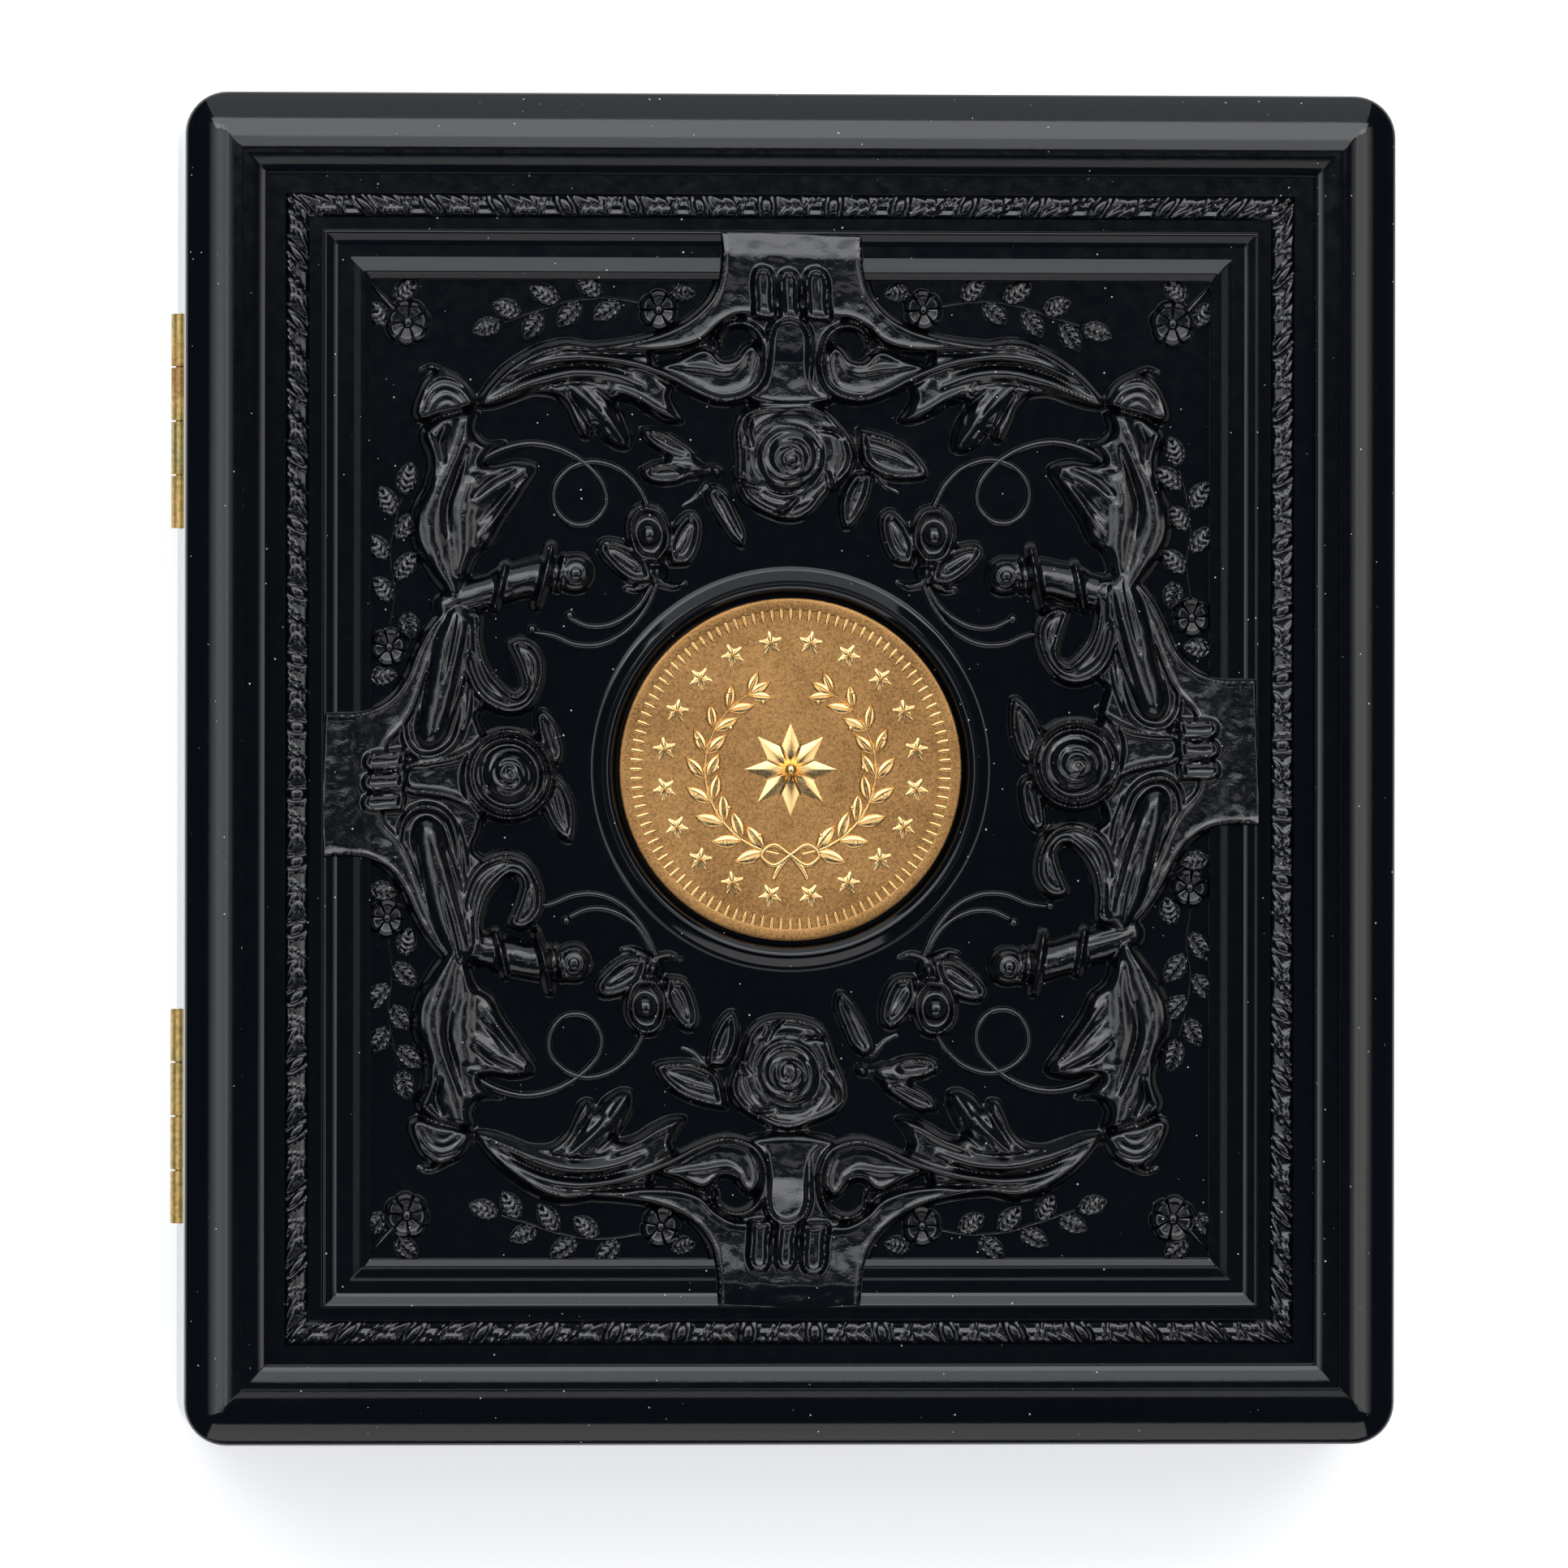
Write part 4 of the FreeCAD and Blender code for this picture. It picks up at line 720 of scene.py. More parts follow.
CORNER = [
    # Trunk of the corner leaf with its lobes, ribs and folds
    Mass([(24.7, 28.2), (26.6, 28.2), (28.6, 27.2), (29.4, 26.2), (28.8, 24.4), (29.0, 22.4), (29.9, 20.4),
          (29.8, 18.2), (28.7, 16.0), (27.4, 14.2), (26.6, 12.8), (25.8, 13.2), (25.4, 15.0), (24.7, 16.9),
          (23.6, 17.8), (22.8, 19.4), (21.4, 21.6), (20.2, 23.9), (21.8, 24.4), (23.6, 24.0), (24.4, 24.2),
          (23.8, 25.2), (22.6, 25.9), (24.2, 25.9), (25.0, 26.8)], 1.4, 0.8),
    Line([(25.8, 27.8), (26.8, 24.6), (28.0, 21.8), (28.4, 19.2), (27.7, 16.8), (26.6, 14.2)],
         (2.2, 3.2, 3.4, 3.0, 1.8), (0.4, 0.5, 0.6, 0.5, 0.4)),
    Line([(25.6, 22.6), (26.0, 20.4), (25.8, 18.0), (26.0, 15.6)], (1.6, 2.4, 2.0, 1.2), (0.2, 0.35, 0.3, 0.2)),
    Line([(25.4, 20.6), (23.6, 22.2), (21.2, 23.6)], (1.2, 1.5, 0.8), (0.1, 0.3, 0.25)),
    Line([(24.6, 18.4), (23.6, 19.6), (22.4, 21.4), (20.9, 23.2)], (0.4, 0.5, 0.5, 0.4), (0.2, 0.3, 0.3, 0.3)),
    Line([(25.4, 23.5), (23.4, 23.9), (21.0, 23.9)], (0.4, 0.5, 0.4), (0.2, 0.3, 0.3)),
    Line([(28.9, 26.4), (28.3, 24.8), (28.3, 23.2)], (0.9, 1.1, 0.6), (0.35, 0.4, 0.2)),
    Line([(25.8, 25.4), (26.6, 23.0), (27.2, 20.8), (27.0, 18.4)], (0.5, 0.9, 0.8, 0.4),
         (-0.2, -0.6, -0.5, -0.1)),
    Line([(27.4, 27.0), (27.9, 25.6), (27.6, 24.2)], (0.5, 0.7, 0.4), (-0.3, -0.45, -0.2)),
    Line([(25.2, 21.6), (23.8, 22.9), (22.0, 23.8)], (0.4, 0.6, 0.4), (-0.2, -0.4, -0.2)),
    Line([(24.6, 19.6), (23.4, 20.9), (22.2, 22.4)], (0.4, 0.6, 0.4), (-0.15, -0.4, -0.2)),
    Line([(29.3, 20.6), (29.3, 18.6), (28.5, 16.6)], (0.3, 0.35, 0.3), (0.1, 0.2, 0.1)),
    # Arm with its three hanging lobes and the strands that run along it
    Mass([(11.0, 33.2), (13.4, 33.5), (15.5, 33.6), (17.6, 33.95), (19.4, 33.6), (21.2, 32.7), (22.8, 31.5),
          (24.0, 30.1), (24.9, 28.6), (23.6, 28.6), (22.0, 29.1), (20.2, 29.7), (18.6, 29.5), (17.6, 28.6),
          (17.1, 27.2), (16.5, 26.1), (15.9, 26.0), (15.5, 26.8), (14.7, 25.8), (13.4, 25.05), (12.7, 25.2),
          (12.6, 26.2), (13.1, 27.6), (13.8, 28.9), (12.4, 28.7), (11.0, 27.8), (9.6, 27.2), (8.4, 27.3),
          (8.9, 28.1), (9.4, 29.2), (9.2, 30.0), (10.3, 31.0), (10.8, 32.2)],
         1.25, 0.75),
    Line([(9.4, 34.0), (12.6, 33.3), (15.5, 33.2), (17.6, 33.4), (19.6, 32.9), (21.6, 31.8), (23.4, 30.3),
          (24.7, 28.9)], (0.9, 1.0, 1.2, 1.2, 0.9, 0.4), (0.5, 0.5, 0.55, 0.55, 0.4, 0.2)),
    Line([(10.5, 32.6), (13.0, 32.75), (15.5, 32.8), (17.6, 32.9)], (0.6, 0.8, 0.7, 0.4),
         (-0.4, -0.55, -0.45, -0.1)),
    Line([(11.6, 30.0), (14.2, 31.0), (17.0, 31.3), (19.6, 30.8), (22.0, 29.9), (24.2, 28.8)],
         (0.7, 1.1, 1.2, 1.0, 0.5), (0.2, 0.4, 0.45, 0.4, 0.2)),
    Line([(12.4, 31.1), (15.0, 31.85), (17.6, 32.0), (20.2, 31.4), (22.6, 30.2)], (0.4, 0.7, 0.8, 0.6, 0.3),
         (-0.2, -0.55, -0.55, -0.45, -0.1)),
    Line([(13.6, 30.0), (16.5, 30.55), (19.4, 30.2), (22.0, 29.5)], (0.3, 0.45, 0.4, 0.3),
         (-0.15, -0.35, -0.3, -0.1)),
    Line([(17.4, 30.4), (15.8, 28.9), (14.4, 27.4), (13.1, 25.5)], (0.9, 1.2, 1.1, 0.5), (0.2, 0.45, 0.4, 0.2)),
    Line([(18.6, 30.0), (17.6, 28.9), (16.9, 27.5), (16.2, 26.3)], (0.6, 0.8, 0.7, 0.4), (0.15, 0.3, 0.3, 0.15)),
    Line([(14.2, 30.2), (12.2, 29.2), (10.5, 28.2), (8.8, 27.5)], (0.7, 1.0, 0.9, 0.4), (0.15, 0.35, 0.35, 0.15)),
    Line([(17.4, 29.6), (16.5, 28.2), (15.8, 26.9)], (0.4, 0.6, 0.4), (-0.3, -0.55, -0.4)),
    Line([(15.2, 29.9), (14.2, 28.9), (13.6, 27.4)], (0.4, 0.55, 0.4), (-0.2, -0.5, -0.3)),
    Line([(15.9, 29.5), (14.9, 28.2), (14.2, 26.6)], (0.25, 0.3, 0.2), (-0.15, -0.3, -0.1)),
    Line([(13.4, 29.4), (11.8, 28.6), (10.2, 27.7)], (0.25, 0.35, 0.2), (-0.15, -0.3, -0.1)),
    # Scroll: the leaf inside it, then its rim, which runs on along the arm
    Mass([(11.2, 31.5), (8.8, 32.3), (7.0, 33.1), (6.2, 32.8), (5.5, 32.2), (4.5, 32.4), (3.9, 33.2),
          (3.2, 33.6), (2.5, 32.7), (2.5, 31.6), (3.1, 30.2), (4.4, 29.45), (6.0, 29.35), (8.0, 30.0),
          (10.0, 30.95)], 1.2, 0.45, 0.0, 0.2),
    Line([(9.6, 31.6), (7.0, 31.5), (5.0, 31.3), (3.8, 32.0)], (0.5, 0.8, 0.8, 0.4), (0.1, 0.3, 0.3, 0.1)),
    Ridge([(5.8, 33.3), (5.7, 34.2), (4.9, 34.95), (3.7, 35.0), (2.7, 34.3), (2.25, 33.0), (2.2, 31.6),
           (2.8, 30.2), (4.0, 29.4), (5.6, 29.15), (7.4, 29.7), (9.4, 30.7), (11.8, 31.65), (14.2, 32.25),
           (17.0, 32.55), (19.6, 32.2), (22.0, 31.1), (24.4, 29.1)],
          (0.5, 0.8, 0.85, 0.85, 0.85, 0.9, 1.0, 1.2, 1.1, 0.4),
          (1.3, 1.75, 1.8, 1.75, 1.7, 1.65, 1.7, 1.7, 1.5, 0.6)),
    # Fold over the top of the trunk, with curved lines inside its rim
    Mass([(24.7, 28.7), (25.4, 30.1), (26.4, 30.9), (27.6, 31.15), (28.7, 30.6), (29.5, 29.3), (29.9, 27.7),
          (29.2, 27.2), (27.8, 27.7), (26.2, 28.1)], 1.75, 0.9, 0.12, 0.22),
    Line([(25.2, 28.8), (25.8, 29.9), (26.8, 30.4), (27.8, 30.4), (28.8, 29.6), (29.4, 28.2)], (0.4,),
         (-0.1, -0.3, -0.3, -0.3, -0.1)),
    Line([(25.8, 28.8), (26.4, 29.4), (27.4, 29.7), (28.3, 29.2), (28.9, 28.1)], (0.35,),
         (-0.1, -0.22, -0.22, -0.22, -0.1)),
    Line([(26.4, 28.6), (27.2, 29.0), (27.9, 28.7), (28.4, 28.0)], (0.3,), (-0.1, -0.18, -0.18, -0.1)),
    Ridge([(27.2, 31.1), (28.3, 31.5), (29.2, 31.25)], (0.4, 0.35, 0.2), (0.8, 0.6, 0.3)),
    # Turned horn: root, collar, barrel, wide collar, neck and ball
    Ridge([(27.0, 13.0), (25.0, 13.7), (23.2, 14.2)], (2.4, 2.9, 2.7), (1.5, 1.6, 1.5)),
    Line([(26.6, 12.8), (24.8, 13.2), (23.2, 13.6)], (0.4,), (-0.1, -0.3, -0.1)),
    Ridge([(22.6, 14.45), (21.2, 14.8), (19.8, 15.05)], (3.1, 3.0, 3.2), (1.65, 1.55, 1.65)),
    Ridge([(23.2, 12.7), (22.85, 14.3), (22.5, 16.0)], (0.85, 0.95, 0.85), (1.5, 2.1, 1.6)),
    Ridge([(19.9, 12.8), (19.4, 15.15), (19.0, 17.4)], (0.9, 1.05, 0.9), (1.6, 2.35, 1.7)),
    Ridge([(19.2, 15.2), (17.8, 15.3)], (2.3, 2.1), (1.3, 1.25)),
    Ridge([(18.35, 14.0), (18.15, 15.3), (17.95, 16.6)], (0.5,), (1.2, 1.75, 1.2)),
    # Bud flower: three rimmed petals round a button
    Mass([(10.9, 14.9), (12.5, 14.7), (14.2, 15.7), (15.4, 17.3), (14.9, 18.0), (13.2, 17.8),
          (11.5, 16.6)], 1.05, 0.45, 0.2, 0.35),
    Mass([(9.7, 16.2), (8.2, 16.4), (7.3, 18.0), (7.2, 19.8), (8.0, 20.4), (9.1, 19.6),
          (9.9, 17.9)], 1.05, 0.45, 0.2, 0.35),
    Mass([(10.6, 16.3), (9.7, 17.6), (9.7, 19.3), (10.5, 20.6), (11.9, 20.8), (13.0, 19.8), (13.1, 18.2),
          (12.2, 16.6)], 1.2, 0.4, 0.25, 0.5),
    Line([(12.4, 15.9), (14.2, 17.0)], (0.5,), (0.3, 0.2)),
    Line([(9.1, 17.4), (8.1, 19.2)], (0.5,), (0.3, 0.2)),
    Ridge([(10.6, 14.9), (9.3, 14.6), (8.4, 14.9)], (0.6, 0.5, 0.2), (0.7, 0.5, 0.3)),
    Ridge([(11.2, 14.8), (12.3, 14.3), (13.2, 14.3)], (0.6, 0.5, 0.2), (0.7, 0.5, 0.3)),
]
HORN_BALL = (17.05, 15.3)
HORN_BALL_RADIUS, HORN_BALL_RISE = 1.6, 1.75
HORN_BALL_GROOVES = (0.55, 1.05)
BUD = (10.75, 15.7)
BUD_DOME = (11.4, 18.6)
FLARE_RISE = 1.4


def strap_rise(out, level, crest, end, climb, droop):
    """Height of a strap's plate: it climbs from its flare to a crest, and droops from there to its outer end."""
    up = climb * ease((out - level) / (crest - level))
    return FLARE_RISE + up - droop * np.clip((out - crest) / (end - crest), 0, 1)


# Upper end of the lid, one half, and the outlines of the shell and the key on the middle line
END_FLARE = [(5.85, 44.0), (5.85, 41.6), (5.85, 40.4), (5.95, 39.2), (6.4, 37.5), (7.6, 35.95), (9.2, 34.85),
             (11.1, 34.15), (13.4, 33.75), (15.8, 33.5), (13.4, 32.85), (11.2, 32.65), (8.7, 32.9), (6.9, 33.6),
             (5.7, 34.8), (4.4, 35.5), (3.2, 35.6), (1.8, 36.0)]
END_GROUND = [(2.0, 37.4), (4.2, 36.6), (4.0, 35.4), (2.9, 34.4), (2.5, 32.6), (2.6, 30.6), (3.6, 29.3),
              (1.6, 28.7)]
END_STRAP = (36.6, 40.4, 42.3, 0.25, 0.34)
END_LOBES = [(-2.4, 39.6, 0.96), (-0.35, 39.45, 0.92), (1.85, 39.7, 1.1)]
END_LOBE_FOOT = 35.5
LOBE_HALF = 0.86
END_KEY = [(-3.8, 29.2), (-2.5, 30.3), (-2.35, 32.4), (-2.3, 34.2), (-1.8, 35.4), (-0.4, 36.0), (1.0, 35.4),
           (1.55, 34.2), (1.6, 32.4), (1.75, 30.3), (3.1, 29.2), (-0.35, 28.9)]

# One half of a side
SIDE = [
    Mass([(27.0, 14.2), (28.6, 12.0), (30.2, 8.4), (31.6, 5.4), (32.5, 3.6), (32.5, 1.0), (32.4, -0.9),
          (24.6, -0.9), (24.2, 1.6), (24.4, 3.7), (24.8, 5.2), (23.6, 6.3), (24.1, 8.8), (24.3, 11.6),
          (24.9, 13.8)], 1.05, 0.5),
    Line([(25.3, 8.0), (25.6, 5.6), (26.2, 3.2)], (0.5, 0.6, 0.4), (0.2, 0.35, 0.2)),
    Line([(26.0, 8.4), (26.0, 6.0), (26.6, 3.6)], (0.3, 0.4, 0.3), (-0.2, -0.35, -0.1)),
    Mass([(24.5, 13.5), (26.3, 14.6), (27.9, 12.8), (28.8, 10.4), (29.4, 8.0), (29.9, 5.6), (30.0, 4.0),
          (29.5, 2.8), (28.5, 2.45), (27.3, 3.2), (26.6, 4.8), (25.9, 6.6), (25.2, 8.8),
          (24.6, 11.2)], 2.15, 1.9),
    Line([(25.2, 12.9), (25.8, 10.4), (26.5, 7.6), (27.3, 5.0)], (0.5, 0.8, 0.8, 0.5), (-0.1, -0.4, -0.45, -0.2)),
    Line([(26.3, 13.4), (26.9, 10.8), (27.6, 8.0)], (0.4, 0.5, 0.4), (-0.15, -0.35, -0.1)),
    Line([(28.6, 10.4), (29.0, 7.6), (29.4, 5.0)], (0.5, 0.6, 0.5), (-0.3, -0.45, -0.3)),
    Ridge([(30.7, 5.2), (30.5, 3.3), (29.5, 2.1), (28.0, 2.1), (26.8, 3.0), (26.2, 4.7), (26.0, 6.6)],
          (0.5, 0.8, 0.85, 0.8, 0.5), (1.3, 1.6, 1.65, 1.5, 1.2)),
    Ridge([(26.2, 7.4), (25.7, 5.6), (25.4, 4.2)], (0.5, 0.6, 0.3), (1.2, 1.1, 0.7)),
    Mass([(26.2, 13.6), (26.2, 11.0), (25.9, 8.8), (25.2, 7.0), (24.0, 5.8), (22.3, 5.25), (20.8, 5.7),
          (19.8, 6.9), (19.3, 8.5), (19.4, 9.9), (20.2, 11.0), (21.2, 11.35), (22.2, 10.9), (21.9, 10.1),
          (21.4, 8.8), (21.2, 7.6), (21.8, 7.05), (23.0, 8.0), (23.8, 9.3), (24.2, 11.1),
          (24.3, 13.4)], 1.55, 0.5, 0.2, 0.4),
    Line([(25.2, 12.8), (25.0, 10.0), (24.2, 7.6), (22.4, 6.2)], (0.7, 0.9, 0.8, 0.5), (0.2, 0.4, 0.35, 0.15)),
    Line([(20.4, 8.0), (20.5, 9.4), (21.1, 10.4)], (0.6, 0.8, 0.5), (0.15, 0.3, 0.15)),
]
SIDE_FLARE = [(39.0, 5.85), (36.0, 5.85), (34.6, 5.9), (33.3, 6.15), (32.2, 6.7), (31.3, 7.5), (30.5, 8.8),
              (29.8, 10.4), (28.9, 12.0), (27.9, 13.3), (26.7, 14.4), (27.2, 12.4), (28.0, 10.4), (28.9, 8.0),
              (29.8, 5.6), (30.7, 4.2), (31.7, 3.0), (31.9, 1.5)]
SIDE_STRAP = (31.8, 35.4, 36.9, 0.38, 0.08)
SIDE_LOBES = [1.8, 0.15, -1.5]
SIDE_LOBE_FOOT, SIDE_LOBE_TIP = 30.4, 33.8
SIDE_KEY = [(24.0, 3.7), (26.6, 2.3), (28.8, 1.85), (30.2, 1.7), (31.0, 0.35), (30.2, -0.95), (28.8, -1.15),
            (26.6, -1.6), (24.0, -3.0), (25.0, -1.6), (25.5, 0.35), (25.0, 2.3)]

# A rose: its heart, the wavy edges of its rings of petals and the angles where petals part
ROSE_HEART = 3.05
ROSE_EDGE = (4.75, 0.3, 0.22)
ROSE_PARTINGS = (0.3, 2.3, 3.4, 4.4, 5.4)
ROSE_FOLDS = [(2.5, 3), (1.95, 3), (1.4, 2), (0.9, 2), (0.45, 1)]
UPPER_ROSE = ((0.0, 24.5), 1.0, 0.0)
LOWER_ROSE = ((-0.2, -24.1), 0.96, math.radians(200))
SIDE_ROSE_X = 22.4
SIDE_ROSE_SHIFT_SHARE = 0.4
SIDE_ROSE_RADIUS = 2.3
SIDE_CUP_RADII = (3.35, 2.75)
SIDE_CUP_RISES = (1.75, 1.4)

# Leaves beside the end roses: one spray has a bud and the other a broad leaf
BUD_SPRAY = [
    Mass([(11.7, 26.7), (10.4, 26.7), (8.8, 25.9), (7.4, 24.8), (8.6, 24.4), (10.4, 25.0),
          (11.5, 25.9)], 0.85, 0.35, 0.2, 0.25),
    Mass([(11.9, 23.5), (10.6, 24.1), (8.9, 24.2), (7.6, 23.6), (8.4, 22.8), (10.4, 22.4),
          (11.6, 22.8)], 0.85, 0.35, 0.2, 0.25),
    Mass([(6.8, 22.0), (6.0, 22.5), (5.0, 21.9), (4.2, 20.3), (3.6, 18.6), (3.9, 17.6), (4.8, 18.3), (5.7, 19.7),
          (6.4, 20.9)],
         0.95, 0.4, 0.2, 0.25),
    Line([(6.2, 22.0), (5.2, 20.2), (4.1, 18.0)], (0.35,), (0.25,)),
    Ridge([(9.2, 24.1), (8.0, 23.9), (6.6, 23.7)], (1.3, 2.0, 0.9), (1.0, 1.2, 0.7)),
    Ridge([(5.9, 23.7), (5.7, 23.6)], (0.9,), (1.0,)),
    Ridge([(6.6, 22.6), (7.6, 21.4), (8.6, 20.8)], (0.3, 0.25, 0.15), (0.4, 0.3, 0.2)),
]
LEAF_SPRAY = [
    Mass([(5.2, 26.8), (7.4, 26.2), (9.4, 25.2), (10.9, 23.2), (9.2, 22.7), (7.4, 22.9),
          (5.8, 24.0)], 0.95, 0.4, 0.22, 0.3),
    Line([(6.0, 25.2), (8.2, 24.5), (10.4, 23.4)], (0.4,), (0.3, 0.3, 0.2)),
    Mass([(6.7, 23.2), (6.3, 21.2), (5.2, 19.3), (4.4, 18.8), (4.0, 20.0), (4.2, 21.6),
          (5.2, 23.2)], 0.9, 0.4, 0.22, 0.3),
    Ridge([(6.8, 23.0), (7.6, 22.2), (8.6, 21.7)], (0.3, 0.25, 0.15), (0.4, 0.3, 0.2)),
]
SIDE_ROSE_LEAVES = [
    Mass([(20.3, 4.2), (19.6, 4.7), (18.7, 3.9), (18.2, 2.4), (18.1, 1.2), (18.6, 0.5), (19.4, 1.0),
          (20.0, 2.4)], 0.9, 0.4, 0.2, 0.3),
    Mass([(19.5, -0.3), (18.4, -0.5), (17.4, -2.1), (17.1, -4.0), (17.4, -5.6), (18.4, -5.0), (19.4, -3.6),
          (19.9, -2.0)], 1.0, 0.4, 0.2, 0.3),
    Line([(18.9, -0.8), (18.4, -2.8), (17.6, -5.0)], (0.4,), (0.3, 0.3, 0.2)),
    Line([(19.4, 4.0), (18.9, 2.4), (18.6, 1.0)], (0.35,), (0.25, 0.25, 0.15)),
]


def arch(foot, tip, middle, half, lengthwise):
    """Outline of a lobe with a round tip, along y or, where lengthwise is false, along x."""
    bend, bow = tip - half, 0.7 * half
    left = [(middle - half, foot), (middle - half, (foot + bend) / 2), (middle - half, bend),
            (middle - bow, tip - 0.3 * half)]
    right = [(middle + bow, tip - 0.3 * half), (middle + half, bend), (middle + half, (foot + bend) / 2),
             (middle + half, foot)]
    points = left + [(middle, tip)] + right
    return points if lengthwise else [(y, x) for x, y in points]


def corner_relief():
    """One corner of the panel."""
    relief = Relief((0, 0), (34, 38))
    relief.carve(CORNER)
    relief.boss(HORN_BALL, HORN_BALL_RADIUS, HORN_BALL_RISE)
    for radius in HORN_BALL_GROOVES:
        ring = [(HORN_BALL[0] + radius * math.cos(a), HORN_BALL[1] + radius * math.sin(a))
                for a in np.linspace(0, 2 * math.pi, 13)]
        relief.line(ring, (0.3,), (-0.22,))
    relief.boss(BUD_DOME, 1.05, 1.6)
    relief.boss(BUD, 0.95, 0.85)
    relief.line([BUD, (BUD[0] + 0.01, BUD[1])], (1.6,), (-0.35,))
    relief.boss(BUD, 0.55, 1.3)
    return relief


def end_relief():
    """The strap, shell and key of one end."""
    relief = Relief((-17, 27), (17, 42.4))
    flare = END_FLARE + [(-x, y) for x, y in reversed(END_FLARE)]
    ground = END_GROUND + [(-x, y) for x, y in reversed(END_GROUND)]
    relief.mass(ground, 1.15, 0.5, 0.0, 0.0)
    relief.mass(flare, lambda x, y: strap_rise(y, *END_STRAP), 0.5, 0.14, 0.1)
    for middle, tip, half in END_LOBES:
        relief.mass(arch(END_LOBE_FOOT, tip, middle, half, True), 2.0, 0.3, 0.14, 0.34)
        relief.line([(middle, tip - 0.9), (middle, END_LOBE_FOOT)], (0.9,), (0.14, 0.05))
    relief.mass(END_KEY, lambda x, y: 1.1 + 0.95 * ease((y - 29.5) / 6.0), 0.35, 0.2, 0.35)
    return relief


def side_relief():
    """One side: its strap, shell and key, and both halves of its scrolls."""
    half = Relief((15, -1), (37, 16))
    half.carve(SIDE)
    relief = Relief((15, -16), (37, 16))
    flare = SIDE_FLARE + [(x, -y) for x, y in reversed(SIDE_FLARE)]
    relief.mass(flare, lambda x, y: strap_rise(x, *SIDE_STRAP), 0.5, 0.14, 0.1)
    for middle in SIDE_LOBES:
        relief.mass(arch(SIDE_LOBE_FOOT, SIDE_LOBE_TIP, middle, LOBE_HALF, False), 2.0, 0.3, 0.14, 0.34)
        relief.line([(SIDE_LOBE_TIP - 0.9, middle), (SIDE_LOBE_FOOT, middle)], (0.8,), (0.14, 0.05))
    relief.mass(SIDE_KEY, 1.55, 0.35, 0.2, 0.35)
    relief.take(half, 1, 1)
    relief.take(half, 1, -1)
    return relief


def arc(centre, start, end, first, last):
    """A path round a middle, from one radius and angle to another."""
    t = np.linspace(0, 1, max(4, int(abs(last - first) / 0.3)))
    radius, angle = start + (end - start) * t, first + (last - first) * t
    return np.stack([centre[0] + radius * np.cos(angle), centre[1] + radius * np.sin(angle)], 1)


def folds(relief, centre, scale, turn):
    """The folded heart of a rose: rings of petal edges that lap over each other."""
    for k, (radius, count) in enumerate(ROSE_FOLDS):
        for part in range(count):
            first = turn + 1.1 * k + 2 * math.pi * part / count + draws.uniform(-0.4, 0.4)
            last = first + 2 * math.pi / count * draws.uniform(0.8, 1.15)
            middle = np.array(centre) + draws.uniform(-0.22, 0.22, 2) * scale
            reach = radius * scale
            groove = arc(middle, reach + 0.1 * scale, reach - 0.1 * scale, first, last)
            edge = arc(middle, reach + 0.36 * scale, reach + 0.18 * scale, first, last)
            relief.line(groove, (0.4 * scale,), (-0.05, -0.34, -0.34, -0.05))
            relief.line(edge, (0.34 * scale,), (0.02, 0.14, 0.14, 0.02))


def rose_relief(relief, centre, scale, turn):
    """A full rose: a ring of wavy petals round a folded heart."""
    angles = np.linspace(0, 2 * math.pi, 26, endpoint=False)
    reach, slow, quick = ROSE_EDGE
    radii = scale * (reach + slow * np.sin(3 * angles + 1.0) + quick * np.sin(5 * angles + 2.1))
    outline = [(centre[0] + r * math.cos(a + turn), centre[1] + r * math.sin(a + turn))
               for r, a in zip(radii, angles)]
    relief.mass(outline, 1.15, 0.45, 0.22, 0.3)
    for at in ROSE_PARTINGS:
        parting = arc(centre, scale * (reach - 0.1), scale * (ROSE_HEART + 0.1), turn + at, turn + at + 0.5)
        lip = arc(centre, scale * (reach + 0.1), scale * (ROSE_HEART + 0.2), turn + at + 0.1, turn + at + 0.62)
        relief.line(parting, (0.4, 0.6, 0.4), (-0.3, -0.5, -0.2))
        relief.line(lip, (0.3, 0.45, 0.3), (0.1, 0.3, 0.1))
    collar = arc(centre, scale * (ROSE_HEART + 0.75), scale * (ROSE_HEART + 0.65), 0.0, 2 * math.pi)
    relief.line(collar, (0.5 * scale,), (0.18,))
    relief.boss(centre, ROSE_HEART * scale, 1.9)
    folds(relief, centre, scale, turn)


def side_rose_relief(relief, centre):
    """A rose bud in a round cup with a double rim."""
    relief.boss(centre, SIDE_CUP_RADII[0] + 0.2, 1.0)
    for radius, rise in zip(SIDE_CUP_RADII, SIDE_CUP_RISES):
        relief.ridge(arc(centre, radius, radius, 0.0, 2 * math.pi), (0.6,), (rise,))
    relief.boss(centre, SIDE_ROSE_RADIUS, 2.05)
    folds(relief, centre, SIDE_ROSE_RADIUS / ROSE_HEART, 0.5)


